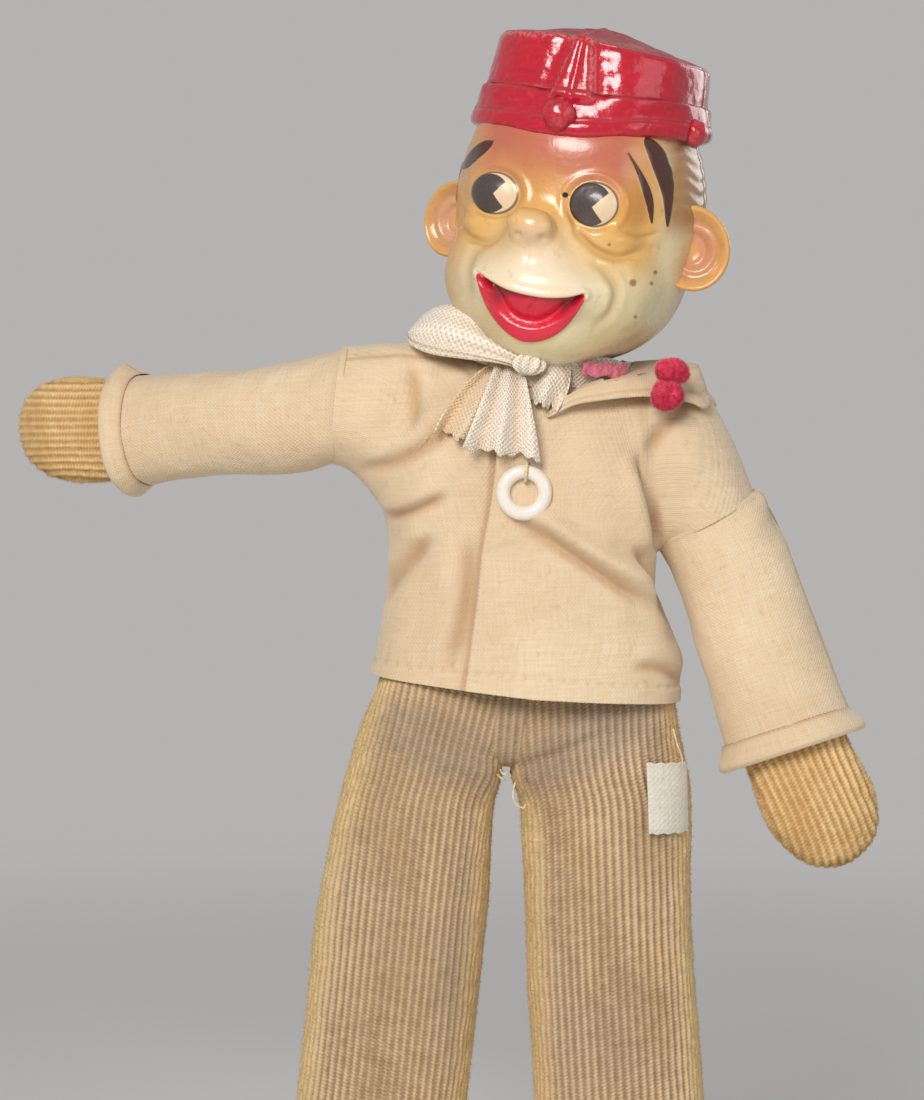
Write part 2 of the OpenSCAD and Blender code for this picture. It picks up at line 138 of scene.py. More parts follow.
def turn(axis, degrees):
    # rotation matrix about an axis through the origin
    n, a = unit(axis), np.radians(degrees)
    k = np.array([[0, -n[2], n[1]], [n[2], 0, -n[0]], [-n[1], n[0], 0]])
    return np.eye(3) + np.sin(a) * k + (1 - np.cos(a)) * (k @ k)


# the frames of the figure, from the joints

joints = {j["name"]: j for j in frame["joints"]}
jointAt = {name: np.array(j["pos_m"]) / mm for name, j in joints.items()}
pose = dict(headYaw=-20, sweepRight=25, sweepLeft=-8, splayRight=6.3, splayLeft=3.1)
sweepOf = {right: pose["sweepRight"], left: pose["sweepLeft"]}
splayOf = {right: pose["splayRight"], left: pose["splayLeft"]}


def axes(x, y, z):
    # three directions, each of length one, as the columns of a turn
    return np.stack([unit(x), unit(y), unit(z)], axis=1)


def put(p, place):
    # from a part's own frame to the shared one
    origin, turned = place
    return origin + np.asarray(p, float) @ turned.T


acrossShoulders = unit(jointAt["shoulder_raise_left"] - jointAt["shoulder_raise_right"])
deep = np.array([0, 1.0, 0])
torsoAxes = axes(acrossShoulders, deep, np.cross(acrossShoulders, deep))
hips = (jointAt["hip_swing_right"] + jointAt["hip_swing_left"]) / 2
torsoPlace = (hips, torsoAxes)
neckUp = unit(joints["neck_turn"]["axis"])
neckAcross = unit([neckUp[2], 0, -neckUp[0]])
neckPlace = (jointAt["neck_turn"], axes(neckAcross, np.cross(neckUp, neckAcross), neckUp))
headPlace = (neckPlace[0], neckPlace[1] @ turn([0, 0, 1], pose["headYaw"]))
armPlace, legPlace, linkPlace = {}, {}, {}
for side in (right, left):
    word = sideName[side]
    start, end = jointAt["shoulder_raise_" + word], jointAt["arm_sweep_" + word]
    linkUp = unit(start - end)
    linkAxes = axes(np.cross(deep, linkUp), deep, linkUp)
    linkPlace[side] = (start, linkAxes)
    armPlace[side] = (end, linkAxes @ turn([1, 0, 0], sweepOf[side]))
    legPlace[side] = (jointAt["hip_swing_" + word], turn([0, 1, 0], -side * splayOf[side]))


# meshes

def normalsOf(p, around):
    # cross product of the grid's two directions, each a central difference
    down = np.gradient(p, axis=0)
    if around:
        along = (np.roll(p, -1, 1) - np.roll(p, 1, 1)) / 2
    else:
        along = np.gradient(p, axis=1)
    n = np.cross(along, down)
    return n / (np.linalg.norm(n, axis=-1, keepdims=True) + 1e-9)


def awayFrom(p, n, core):
    # the normals, turned so that most of them point away from core
    return n if ((p - core) * n).sum() > 0 else -n


def gridFaces(rows, cols, around, first=0):
    # four-cornered faces of a grid of points, row by row
    i = np.arange(rows - 1)[:, None]
    j = np.arange(cols if around else cols - 1)[None, :]
    k = (j + 1) % cols
    corner = [i * cols + j, i * cols + k, (i + 1) * cols + k, (i + 1) * cols + j]
    return np.stack([c.ravel() for c in corner], axis=1) + first


def makeMesh(name, points, quads, tris, material, values, body=None, hairs=None):
    # one object from points in millimetres; its faces are turned so that its volume is positive
    flat = np.concatenate([quads[:, [0, 1, 2]], quads[:, [0, 2, 3]], tris])
    a, b, c = points[flat[:, 0]], points[flat[:, 1]], points[flat[:, 2]]
    if (a * np.cross(b, c)).sum() < 0:
        quads, tris = quads[:, ::-1], tris[:, ::-1]
    if hairs:
        points, tris = np.concatenate([points, hairs[0]]), np.concatenate([tris, hairs[1] + len(points)])
        values = {key: np.concatenate([value, hairs[2][key]]) for key, value in values.items()}
    data = bpy.data.meshes.new(name)
    data.from_pydata((points * mm).tolist(), [], quads.tolist() + tris.tolist())
    data.polygons.foreach_set("use_smooth", np.ones(len(data.polygons), bool))
    for key, value in values.items():
        value = np.asarray(value, np.float32)
        kind, field = ("FLOAT", "value") if value.ndim == 1 else ("FLOAT_VECTOR", "vector")
        data.attributes.new(key, kind, "POINT").data.foreach_set(field, value.ravel())
    data.update()
    piece = bpy.data.objects.new(name, data)
    bpy.context.scene.collection.objects.link(piece)
    data.materials.append(material)
    if body:
        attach(piece, body)
    return piece


def spread(value, shape):
    # one value, or one for each row or column, given to every point of the grid
    value = np.asarray(value, float)
    deepest = 3 if value.ndim and value.shape[-1] == 3 and value.ndim > 2 else 0
    target = shape + (3,) if deepest else shape
    return np.broadcast_to(value, target).reshape((-1, 3) if deepest else -1)


def pileHairs(p, n, values, share, count, length, seed):
    # thin three-sided spikes on a grid of points, most where share is high, leaning at random and down
    rng = np.random.default_rng(seed)
    chance = share.ravel() / share.sum()
    pick = rng.choice(chance.size, count, p=chance)
    way = n.reshape(-1, 3)[pick] + rng.normal(0, 0.45, (count, 3)) - [0, 0, 0.25]
    way /= np.linalg.norm(way, axis=1, keepdims=True)
    side = np.cross(way, [0.3, 0.9, 0.2])
    side /= np.linalg.norm(side, axis=1, keepdims=True)
    other, root = np.cross(way, side), p.reshape(-1, 3)[pick] - 0.12 * way
    corners = [root + 0.075 * (np.cos(a) * side + np.sin(a) * other) for a in np.arange(3) * 2 * np.pi / 3]
    tip = root + way * (length * rng.uniform(0.5, 1.1, count))[:, None]
    first = np.arange(count)[:, None] * 4
    tris = np.concatenate([first + corner for corner in ([0, 1, 3], [1, 2, 3], [2, 0, 3], [0, 2, 1])])
    table = {key: np.repeat(spread(value, p.shape[:2])[pick], 4, axis=0) for key, value in values.items()}
    return np.stack(corners + [tip], 1).reshape(-1, 3), tris, table


def solidGrid(name, p, material, values=None, around=True, closeFirst=True, closeLast=True, body=None,
              hairs=None):
    # a grid closed into a solid: round in its columns, with a fan to a middle point at each end
    rows, cols = p.shape[:2]
    points = p.reshape(-1, 3)
    quads = gridFaces(rows, cols, around)
    fans, extra, extraRows = [], [], []
    for row, close in ((0, closeFirst), (rows - 1, closeLast)):
        if close:
            ring = row * cols + np.arange(cols)
            middle = np.full(cols, rows * cols + len(extra))
            fan = np.stack([ring, middle, np.roll(ring, -1)], axis=1)
            fans.append(fan if row == 0 else fan[:, ::-1])
            extra.append(p[row].mean(0))
            extraRows.append(row)
    tris = np.concatenate(fans) if fans else np.zeros((0, 3), int)
    full = np.concatenate([points, np.array(extra).reshape(-1, 3)])
    table = {}
    for key, value in (values or {}).items():
        whole = spread(value, (rows, cols))
        ends = [whole.reshape(rows, cols, -1)[row].mean(0) for row in extraRows]
        table[key] = np.concatenate([whole.reshape(rows * cols, -1), np.array(ends).reshape(len(ends), -1)])
        if table[key].shape[1] == 1:
            table[key] = table[key][:, 0]
    return makeMesh(name, full, quads, tris, material, table, body, hairs)


def clothGrid(name, p, thick, core, material, values=None, around=False, body=None):
    # a grid given a thickness inwards: the outer face, the inner face and a strip along every open edge
    rows, cols = p.shape[:2]
    n = awayFrom(p, normalsOf(p, around), core)
    inner = p - n * thick
    count = rows * cols
    index = np.arange(count).reshape(rows, cols)
    outerFaces = gridFaces(rows, cols, around)
    innerFaces = gridFaces(rows, cols, around, count)[:, ::-1]
    edges = [index[0], index[-1, ::-1]]
    if not around:
        edges += [index[::-1, 0], index[:, -1]]
    strips = []
    for edge in edges:
        following = np.roll(edge, -1) if around else edge[1:]
        here = edge if around else edge[:-1]
        strips.append(np.stack([following, here, here + count, following + count], axis=1))
    quads = np.concatenate([outerFaces, innerFaces] + strips)
    points = np.concatenate([p.reshape(-1, 3), inner.reshape(-1, 3)])
    table = {}
    for key, value in (values or {}).items():
        whole = spread(value, (rows, cols))
        table[key] = np.concatenate([whole, whole])
    return makeMesh(name, points, quads, np.zeros((0, 3), int), material, table, body)


def join(parts):
    # several (points, quads) put together as one pair, each one's numbers after the last one's
    points, quads, count = [], [], 0
    for p, q in parts:
        points.append(p)
        quads.append(q + count)
        count += len(p)
    return np.concatenate(points), np.concatenate(quads)


def strand(path, radius, sides=6):
    # a round thread along a path: rings in the plane across the path, narrowed at both ends
    path = np.asarray(path, float)
    ahead = np.gradient(path, axis=0)
    ahead /= np.linalg.norm(ahead, axis=1, keepdims=True) + 1e-9
    side = np.cross(ahead, [0.31, 0.83, 0.46])
    side /= np.linalg.norm(side, axis=1, keepdims=True) + 1e-9
    other = np.cross(ahead, side)
    a = np.arange(sides) * 2 * np.pi / sides
    atEnd = np.arange(len(path)) % (len(path) - 1) == 0
    radius = np.broadcast_to(radius, len(path)) * np.where(atEnd, 0.15, 1)
    ring = side[:, None] * np.cos(a)[:, None] + other[:, None] * np.sin(a)[:, None]
    p = path[:, None] + ring * radius[:, None, None]
    quads = gridFaces(len(path), sides, True)
    first = np.array([[0, 1, 2, 3], [0, 3, 4, 5]][:sides // 2 - 1])
    last = first + (len(path) - 1) * sides
    return p.reshape(-1, 3), np.concatenate([quads, first[:, ::-1], last])


def strandPiece(name, paths, radius, material, body=None, sides=6):
    # several threads as one mesh
    points, quads = join([strand(p, radius, sides) for p in paths])
    return makeMesh(name, points, quads, np.zeros((0, 3), int), material, {}, body)


# materials

def paint(code, alpha=1.0):
    # a written colour such as "#c08040" as the linear values that a shader takes
    c = np.array([int(code[i:i + 2], 16) / 255 for i in (1, 3, 5)])
    c = np.where(c <= 0.04045, c / 12.92, ((c + 0.055) / 1.055) ** 2.4)
    return (*[float(x) for x in c], alpha)


class Wiring:
    # adds nodes to a tree; a value that is a socket is linked, any other is set
    def __init__(self, tree):
        self.tree = tree

    def add(self, kind, *values, out=0, named=None, **settings):
        node = self.tree.nodes.new("ShaderNode" + kind)
        for key, value in settings.items():
            setattr(node, key, value)
        for key, value in list(enumerate(values)) + list((named or {}).items()):
            if isinstance(value, bpy.types.NodeSocket):
                self.tree.links.new(value, node.inputs[key])
            elif value is not None:
                node.inputs[key].default_value = value
        return node.outputs[out]

    def math(self, operation, *values, clamp=False):
        return self.add("Math", *values, operation=operation, use_clamp=clamp)

    def mix(self, amount, a, b, how="MIX"):
        named = {0: amount, 6: a, 7: b}
        return self.add("Mix", named=named, out=2, data_type="RGBA", blend_type=how)

    def step(self, value, low, high, toLow=0.0, toHigh=1.0):
        named = {0: value, 1: low, 2: high, 3: toLow, 4: toHigh}
        return self.add("MapRange", named=named, interpolation_type="SMOOTHSTEP")

    def noise(self, vector, scale, detail=3.0, roughness=0.55):
        named = {"Vector": vector, "Scale": scale, "Detail": detail, "Roughness": roughness}
        return self.add("TexNoise", named=named)

    def value(self, name):
        return self.add("Attribute", out=2, attribute_name=name)

    def vector(self, name):
        return self.add("Attribute", out=1, attribute_name=name)

    def place(self, size=(1, 1, 1)):
        # Object coordinates in millimetres, stretched by size
        spot = self.add("TexCoord", out=3)
        return self.add("VectorMath", spot, tuple(1000 * s for s in size), operation="MULTIPLY")

    def bump(self, height, depth, normal=None):
        # depth is the height's full size in millimetres
        named = {"Strength": 1.0, "Distance": depth * mm, "Height": height, "Normal": normal}
        return self.add("Bump", named=named)

    def group(self, tree, out, **inputs):
        node = self.tree.nodes.new("ShaderNodeGroup")
        node.node_tree = tree
        for key, value in inputs.items():
            if isinstance(value, bpy.types.NodeSocket):
                self.tree.links.new(value, node.inputs[key])
            else:
                node.inputs[key].default_value = value
        return node.outputs if out is None else node.outputs[out]


def newMaterial(name):
    # an empty material, its node writer and the function that closes it with a shader
    material = bpy.data.materials.new(name)
    material.use_nodes = True
    w = Wiring(material.node_tree)
    shader = material.node_tree.nodes["Principled BSDF"]

    def finish(color, roughness, normal=None, **plain):
        # the surface shader with its colour, roughness, relief and any plain settings
        plain.update({"Base_Color": color, "Roughness": roughness, "Normal": normal})
        for key, value in plain.items():
            socket = shader.inputs[key.replace("_", " ")]
            if isinstance(value, bpy.types.NodeSocket):
                w.tree.links.new(value, socket)
            elif value is not None:
                socket.default_value = value
        return material
    return w, finish


def newGroup(name, inputs, outputs):
    # an empty shader group with named sockets: (name, kind, value) in, (name, kind) out
    tree = bpy.data.node_groups.new(name, "ShaderNodeTree")
    kinds = {"value": "NodeSocketFloat", "vector": "NodeSocketVector", "color": "NodeSocketColor"}
    for key, kind, value in inputs:
        socket = tree.interface.new_socket(name=key, in_out="INPUT", socket_type=kinds[kind])
        if value is not None:
            socket.default_value = value
    for key, kind in outputs:
        tree.interface.new_socket(name=key, in_out="OUTPUT", socket_type=kinds[kind])
    inside = tree.nodes.new("NodeGroupInput")
    outside = tree.nodes.new("NodeGroupOutput")
    return tree, Wiring(tree), inside.outputs, outside.inputs


def makeWeaveGroup():
    # plain weave: sine across times sine along raises each crossing in turn; noise varies the threads
    tree, w, given, result = newGroup(
        "plainWeave",
        [("Cloth", "vector", None), ("Threads", "value", 2.0), ("Uneven", "value", 0.5)],
        [("Height", "value"), ("Slub", "value"), ("Gap", "value")])
    split = w.tree.nodes.new("ShaderNodeSeparateXYZ")
    wander = w.noise(given["Cloth"], 0.35, 2.0)
    tree.links.new(given["Cloth"], split.inputs[0])
    wave = []
    for axis in (0, 1):
        shifted = w.math("MULTIPLY_ADD", wander, given["Uneven"], split.outputs[axis])
        turns = w.math("MULTIPLY", shifted, given["Threads"])
        wave.append(w.math("SINE", w.math("MULTIPLY", turns, np.pi)))
    tree.links.new(w.math("MULTIPLY_ADD", w.math("MULTIPLY", wave[0], wave[1]), 0.5, 0.5), result["Height"])
    edges = [w.math("POWER", w.math("SUBTRACT", 1.0, w.math("ABSOLUTE", x)), 3.0) for x in wave]
    tree.links.new(w.math("MULTIPLY", edges[0], edges[1]), result["Gap"])
    long = w.add("VectorMath", given["Cloth"], (0.12, 2.2, 1), operation="MULTIPLY")
    wide = w.add("VectorMath", given["Cloth"], (2.2, 0.12, 1), operation="MULTIPLY")
    slub = w.math("ADD", w.noise(long, 1.0, 2.0), w.noise(wide, 1.0, 2.0))
    tree.links.new(w.math("MULTIPLY", slub, 0.5), result["Slub"])
    return tree


def makeMottleGroup():
    # stains and fading: large soft patches and small flecks, both from noise
    tree, w, given, result = newGroup(
        "mottle",
        [("Place", "vector", None), ("Size", "value", 20.0), ("Seed", "value", 0.0)],
        [("Patches", "value"), ("Flecks", "value")])
    moved = w.add("VectorMath", given["Place"], None, operation="ADD")
    offset = w.tree.nodes.new("ShaderNodeCombineXYZ")
    tree.links.new(given["Seed"], offset.inputs[0])
    tree.links.new(offset.outputs[0], moved.node.inputs[1])
    scale = w.math("DIVIDE", 1.0, given["Size"])
    tree.links.new(w.step(w.noise(moved, scale, 4.0), 0.35, 0.65), result["Patches"])
    tree.links.new(w.step(w.noise(moved, w.math("MULTIPLY", scale, 14.0), 2.0), 0.62, 0.74), result["Flecks"])
    return tree


weave = makeWeaveGroup()
mottle = makeMottleGroup()
print("shader groups made")


# camera, light and floor

studio = dict(distance=620, elevation=2.0, aim=(6.8, -5, 183.5), lens=90.2, far=9000,
              fill=0.3, backdrop=0.46, paper=(1.0, 0.985, 0.96, 1), fade=(260.0, 900.0))


def makeStudio():
    # the camera looks along +Y from a little above: one main lamp, two weak ones and a flat pale floor
    scene = bpy.context.scene
    rise = np.radians(studio["elevation"])
    spot = np.array(studio["aim"]) + studio["distance"] * np.array([0, -np.cos(rise), np.sin(rise)])
    camera = bpy.data.objects.new("camera", bpy.data.cameras.new("camera"))
    camera.location = spot * mm
    camera.rotation_euler = (np.pi / 2 - rise, 0, 0)
    camera.data.lens = studio["lens"]
    camera.data.clip_start = 0.01
    scene.collection.objects.link(camera)
    scene.camera = camera
    scene.view_settings.view_transform = "Standard"
    lamps = [  # where, size, watts, colour
        ((-150, -560, 470), 280, 3.1, (1.0, 0.97, 0.93)),
        ((420, -420, 300), 360, 0.4, (0.96, 0.98, 1.0)),
        ((420, 380, 420), 300, 0.4, (1.0, 1.0, 1.0)),
    ]
    for number, (place, size, watts, tint) in enumerate(lamps):
        data = bpy.data.lights.new(f"lamp{number}", "AREA")
        data.shape = "DISK"
        data.size, data.energy, data.color = size * mm, watts, tint
        lamp = bpy.data.objects.new(f"lamp{number}", data)
        lamp.location = np.array(place) * mm
        away = np.array(place) - np.array([10, 0, 180])
        lamp.rotation_euler = (np.arccos(away[2] / np.linalg.norm(away)), 0, np.arctan2(away[0], -away[1]))
        scene.collection.objects.link(lamp)
    world = bpy.data.worlds.new("room")
    world.use_nodes = True
    tree = world.node_tree
    light = tree.nodes["Background"]
    light.inputs[0].default_value, light.inputs[1].default_value = (0.94, 0.96, 1.0, 1), studio["fill"]
    seen = tree.nodes.new("ShaderNodeBackground")
    seen.inputs[0].default_value, seen.inputs[1].default_value = studio["paper"], studio["backdrop"]
    mixed = tree.nodes.new("ShaderNodeMixShader")
    tree.links.new(seenOnly(tree), mixed.inputs[0])
    tree.links.new(light.outputs[0], mixed.inputs[1])
    tree.links.new(seen.outputs[0], mixed.inputs[2])
    tree.links.new(mixed.outputs[0], tree.nodes["World Output"].inputs[0])
    scene.world = world
    # one flat sheet that fades into the backdrop's own shade away from the figure
    far = np.linspace(-1, 1, 9) * studio["far"]
    x, y = np.meshgrid(far, far, indexing="ij")
    w, done = newMaterial("floorPaper")
    floor = clothGrid("floor", stacked(x, y, 0 * x), 2, (0, 0, -400), done(paint("#f1efeb"), 0.9))
    floor.location.z = -0.002
    tree = floor.data.materials[0].node_tree
    glow = tree.nodes.new("ShaderNodeEmission")
    glow.inputs[0].default_value, glow.inputs[1].default_value = studio["paper"], studio["backdrop"]
    away = tree.nodes.new("ShaderNodeVectorMath")
    away.operation = "LENGTH"
    tree.links.new(w.place(), away.inputs[0])
    share = w.math("MULTIPLY", w.step(away.outputs["Value"], *studio["fade"]), seenOnly(tree))
    mixed = tree.nodes.new("ShaderNodeMixShader")
    out = [node for node in tree.nodes if node.type == "OUTPUT_MATERIAL"][0]
    surface = out.inputs[0].links[0].from_socket
    tree.links.new(share, mixed.inputs[0])
    tree.links.new(surface, mixed.inputs[1])
    tree.links.new(glow.outputs[0], mixed.inputs[2])
    tree.links.new(mixed.outputs[0], out.inputs[0])


def seenOnly(tree):
    # one for what the camera sees directly, in a mirror or through glass
    path = tree.nodes.new("ShaderNodeLightPath")
    total = path.outputs["Is Camera Ray"]
    for name in ("Is Glossy Ray", "Is Transmission Ray"):
        add = tree.nodes.new("ShaderNodeMath")
        add.use_clamp = True
        tree.links.new(total, add.inputs[0])
        tree.links.new(path.outputs[name], add.inputs[1])
        total = add.outputs[0]
    return total


makeStudio()
print("studio made")


# moulded head

head = dict(
    middle=(0, -2, 27), facing=20, front=100, seamY=2.5,
    eyeRight=(-19.2, 32.9, 5.2, 4.6), eyeLeft=(2.2, 33.0, 5.25, 4.8),     # centre and half sizes, as faced
    upperLip=[(-20.6, 15.6), (-14.3, 12.9), (-7.4, 12.1), (-1.6, 12.7), (2.3, 13.9)],
    lowerLip=[(1.6, 10.4), (-0.8, 6.2), (-4.4, 3.3), (-8.9, 2.2), (-13.2, 3.9), (-17.0, 7.5), (-19.5, 11.8)],
    innerLip=[(1.2, 11.4), (-2.2, 8.1), (-6.6, 5.8), (-11.2, 6.0), (-15.4, 8.6), (-18.4, 12.4)],
    browRight=[(-20.6, 44.0), (-22.8, 43.7), (-25.4, 41.4), (-27.2, 37.6), (-25.6, 37.6), (-23.6, 39.6),
               (-21.2, 42.4)],
    browTail=[(-26.9, 38.6), (-27.7, 34.5), (-27.4, 30.5)],
    lock=[(8.1, 44.6), (10.7, 41.2), (12.7, 37.9), (14.2, 34.5), (15.1, 30.6)],
    bold=[(11.4, 48.2), (14.2, 45.2), (16.6, 41.0), (18.0, 36.4), (18.7, 30.4)],
    bagRight=[(-25.4, 24.2), (-22.6, 22.4), (-18.6, 22.6), (-15.4, 26.2)],
    bagLeft=[(-2.2, 30.0), (-0.2, 26.4), (4.0, 23.2), (9.0, 22.4), (13.4, 24.4)],
    smileLeft=[(2.6, 21.4), (6.4, 19.0), (9.0, 15.6), (8.6, 11.0), (5.8, 7.4)],
    smileRight=[(-18.0, 22.0), (-21.6, 19.6), (-22.6, 15.0), (-20.8, 9.0)],
    footLeft=[(8.0, 28.6), (13.0, 27.4), (17.0, 28.8)],
    spots=[(12.5, 17.5, 0.75), (17.3, 20.2, 0.45), (16.7, 17.8, 0.4), (14.1, 10.3, 0.35), (-17.6, 10.4, 0.25),
           (6.4, 25.0, 0.3)],
)


def egg(p, centre, radii):
    # near enough the distance to an ellipsoid: its scaled length times how fast that length changes
    q = p - np.array(centre, float)
    r = np.array(radii, float)
    a = np.linalg.norm(q / r, axis=-1)
    b = np.linalg.norm(q / r**2, axis=-1)
    return a * (a - 1) / (b + 1e-9)


def melt(a, b, k):
    # smooth union of two distances, k millimetres wide
    h = np.clip(0.5 + 0.5 * (b - a) / k, 0, 1)
    return b + (a - b) * h - k * h * (1 - h)


def headField(p):
    # skull, jaw, muzzle, bridge, nose, cheeks, eyeballs and brow melted together, the same both sides
    q = p * np.array([1, 1, 1])
    q[..., 0] = np.abs(p[..., 0])
    d = egg(q, (0, 1, 33), (27.9, 27.2, 31))
    d = melt(d, egg(q, (0, -2.5, 17), (25.6, 24.5, 19.5)), 5)
    d = melt(d, egg(q, (13, -15, 15), (10.5, 10, 11)), 4)
    d = melt(d, egg(q, (0, -17, 14.5), (18.5, 17.5, 9.0)), 3.5)
    d = melt(d, egg(q, (0, -15, 6.5), (14, 14, 9.5)), 4)
    d = melt(d, egg(q, (0, -24, 24), (6.5, 9, 6)), 5)
    d = melt(d, egg(q, (0, -31.6, 26.9), (5.1, 3.8, 3.8)), 1.6)
    d = melt(d, egg(q, (12, -18.2, 33.5), (7.6, 6.6, 7.2)), 2.5)
    d = melt(d, egg(q, (12.5, -17.5, 26), (7.5, 7.5, 3.6)), 2.0)
    return melt(d, egg(q, (0, -14, 45), (19, 10, 7)), 7)


def headRays(turnAngles, tilts):
    # rays from the middle of the head, met from outside by stepping in by the distance to the shape
    a, t = np.meshgrid(np.radians(turnAngles), np.radians(tilts))
    ray = stacked(np.sin(a) * np.sin(t), -np.cos(a) * np.sin(t), np.cos(t))
    far = np.full(a.shape, 52.0)
    for _ in range(34):
        far -= headField(np.array(head["middle"]) + ray * far[..., None]) * 0.9
    return np.array(head["middle"]) + ray * far[..., None]


def asFaced(p):
    # the face seen along its own facing direction: across, and up
    a = np.radians(head["facing"])
    return p[..., 0] * np.cos(a) + p[..., 1] * np.sin(a), p[..., 2]


def eyeFields(u, zs, eye, iris, cut):
    # signed distances of a painted eye: the disc, the iris shifted to one side, and the wedge cut from it
    x, z, a, b = eye
    disc = (np.hypot((u - x) / a, (zs - z) / b) - 1) * b
    dark = np.hypot(u - x - iris[0], zs - z - iris[1]) - iris[2]
    dx, dz = u - x - cut[0], zs - z - cut[1]
    wedge = np.abs(np.degrees(np.arctan2(dz, dx)) - cut[2]) - cut[3]
    wedge = wedge / 60 * np.hypot(dx, dz)
    return disc, dark, wedge


def faceRelief(p):
    # moulded detail as a height over the melted shape, and the painted edges as signed distances
    u, zs = asFaced(p)
    front = smooth(6, -6, p[..., 1])
    height = np.zeros(u.shape)
    discs, darks, wedges = [], [], []
    for eye, iris, cut in ((head["eyeRight"], (-1.0, -0.2, 4.2), (0.0, -0.1, 0, 50)),
                           (head["eyeLeft"], (-0.9, -0.1, 4.6), (-0.3, -0.6, -2, 48))):
        disc, dark, wedge = eyeFields(u, zs, eye, iris, cut)
        discs.append(disc)
        darks.append(dark)
        wedges.append(wedge)
        height += front * (0.55 * smooth(0.4, -3.5, disc) - 0.34 * bell(disc - 0.25, 0.55)
                           + 0.3 * bell(disc - 1.5, 0.8))
    upper, lower = head["upperLip"], head["lowerLip"]
    mouth = toOutline(u, zs, upper + lower, 120)
    inner = toOutline(u, zs, upper + head["innerLip"], 120)
    lipLine, _ = toLine(u, zs, upper)
    inside = smooth(0.25, -0.7, inner)
    height += front * (0.75 * smooth(0.2, -0.5, mouth) * (1 - inside) - 1.9 * inside)
    tongue = np.hypot((u + 8.6) / 7.2, (zs - 8.9) / 3.6)
    height += front * inside * (1.5 * smooth(1.1, 0.2, tongue)
                                - 0.5 * bell(u + 8.4, 0.7) * smooth(1, 0.2, tongue))
    height += front * 0.45 * bell(lipLine - 0.6, 0.8) * smooth(-0.3, 0.5, inner)
    creases = np.zeros(u.shape)
    for name, depth, width in (("bagRight", 0.75, 0.75), ("bagLeft", 0.85, 0.8), ("smileLeft", 0.6, 1.0),
                               ("smileRight", 0.5, 1.0), ("footLeft", 0.3, 0.5)):
        d, along = toLine(u, zs, head[name])
        ends = np.sin(np.pi * np.clip(along, 0.02, 0.98)) ** 0.6
        groove = bell(d, width) * ends * front
        creases += groove
        height += 0.3 * depth * bell(d - 1.6, 1.0) * ends * front - depth * groove
    for side in (right, left):
        x = -10.6 + side * 2.7
        height -= 0.7 * front * bell(np.hypot(u - x, (zs - 24.6) * 1.2), 0.95)
    height -= 0.35 * front * bell(u + 10.6, 0.45) * bell(zs - 21.4, 1.8)
    tail, _ = toLine(u, zs, head["browTail"])
    lockD, lockT = toLine(u, zs, head["lock"])
    boldD, boldT = toLine(u, zs, head["bold"])
    hair = smooth(15, 20, u) * smooth(30, 34, zs) * smooth(50, 47, zs) * smooth(-22, -14, p[..., 1])
    hair = np.maximum(hair, smooth(3, 8, p[..., 1]) * smooth(12, 20, zs))
    curl = np.sin(2.1 * zs + 1.3 * np.sin(0.42 * p[..., 1] + 0.3 * p[..., 0]) + rough(p, 14, 3) * 1.1)
    height += 0.09 * hair * curl * smooth(0, 3, boldD)
    brow = np.minimum(toOutline(u, zs, head["browRight"]), tail - 0.35)
    lock = lockD - 0.2 - 0.75 * np.sin(np.pi * lockT**1.4) ** 1.2
    bold = boldD - 0.25 - 1.75 * np.sin(np.pi * np.clip(boldT, 0, 1) ** 0.72)
    brow = np.minimum(np.minimum(brow, lock), bold)
    brow = np.where(p[..., 1] < np.where(u < 0, -5, 6), brow, 9)
    height += 0.18 * smooth(0.3, -0.4, brow)
    chip = np.hypot((u + 4.1) / 1.25, zs - 34.2) - 0.55
    height -= 0.35 * smooth(0.2, -0.2, chip) * front
    mouth = np.where(p[..., 1] < -4, mouth, 9)
    disc = np.where(p[..., 1] < 4, np.minimum(*discs), 9)
    dark = np.where(discs[0] < discs[1], darks[0], darks[1])
    wedge = np.where(discs[0] < discs[1], wedges[0], wedges[1])
    height += 0.05 * rough(p, 16, 11)
    deepRed = inside * (1 - smooth(1.15, 0.75, tongue))
    brown = smooth(31, 45, zs + 1.5 * rough(p, 18, 4)) * smooth(-27, -20, u) * smooth(13.5, 6, u) * front
    aroundEye = bell(np.minimum(*[np.abs(d) for d in discs]) - 1, 4.0)
    beside = 0.8 * bell(np.hypot((u - 11) / 5.5, (zs - 35) / 7), 1.0)
    orange = np.maximum(0.75 * smooth(27, 40, zs) * smooth(20, 12, u),
                        0.5 * aroundEye * smooth(26, 33, zs)) * front
    orange = np.maximum(orange, np.maximum(beside, 0.5 * smooth(-22, -27, u)) * front)
    pink = bell(np.hypot((u + 8) / 12.5, (zs - 18) / 8.5), 1.0) * front
    yellow = smooth(14, 24, zs) * smooth(44, 32, zs) * front * smooth(21, 13, u) * (1 - 0.85 * pink)
    spots = [smooth(r + 0.25, r - 0.2, np.hypot(u - x, zs - z)) for x, z, r in head["spots"]]
    # tan paint over the hair and temples, painted shade on the back half and low on the jaw
    tanAndShade = np.maximum(hair, 0.9 * smooth(-10, 6, p[..., 1]) * smooth(40, 25, zs))
    tanAndShade = np.maximum(tanAndShade, smooth(16.5, 20, u) * smooth(26, 33, zs))
    tanAndShade = np.maximum(tanAndShade, 0.45 * smooth(12, 3, zs) * smooth(9, 18, np.abs(u)))
    nose = bell(np.hypot((u + 10.4) / 4.8, (zs - 25.6) / 3.6), 0.9) * front
    table = dict(
        eyes=stacked(disc, dark, wedge),
        marks=stacked(brow, mouth, np.where(p[..., 1] < 0, chip, 9)),
        airbrush=stacked(brown, orange, yellow),
        blush=stacked(pink, nose, deepRed),
        # relief: the creases as painted shade, the tan-and-shade share, and the painted spots
        relief=stacked(np.clip(creases, 0, 1), tanAndShade, np.max(spots, axis=0) * front))
    return height, table


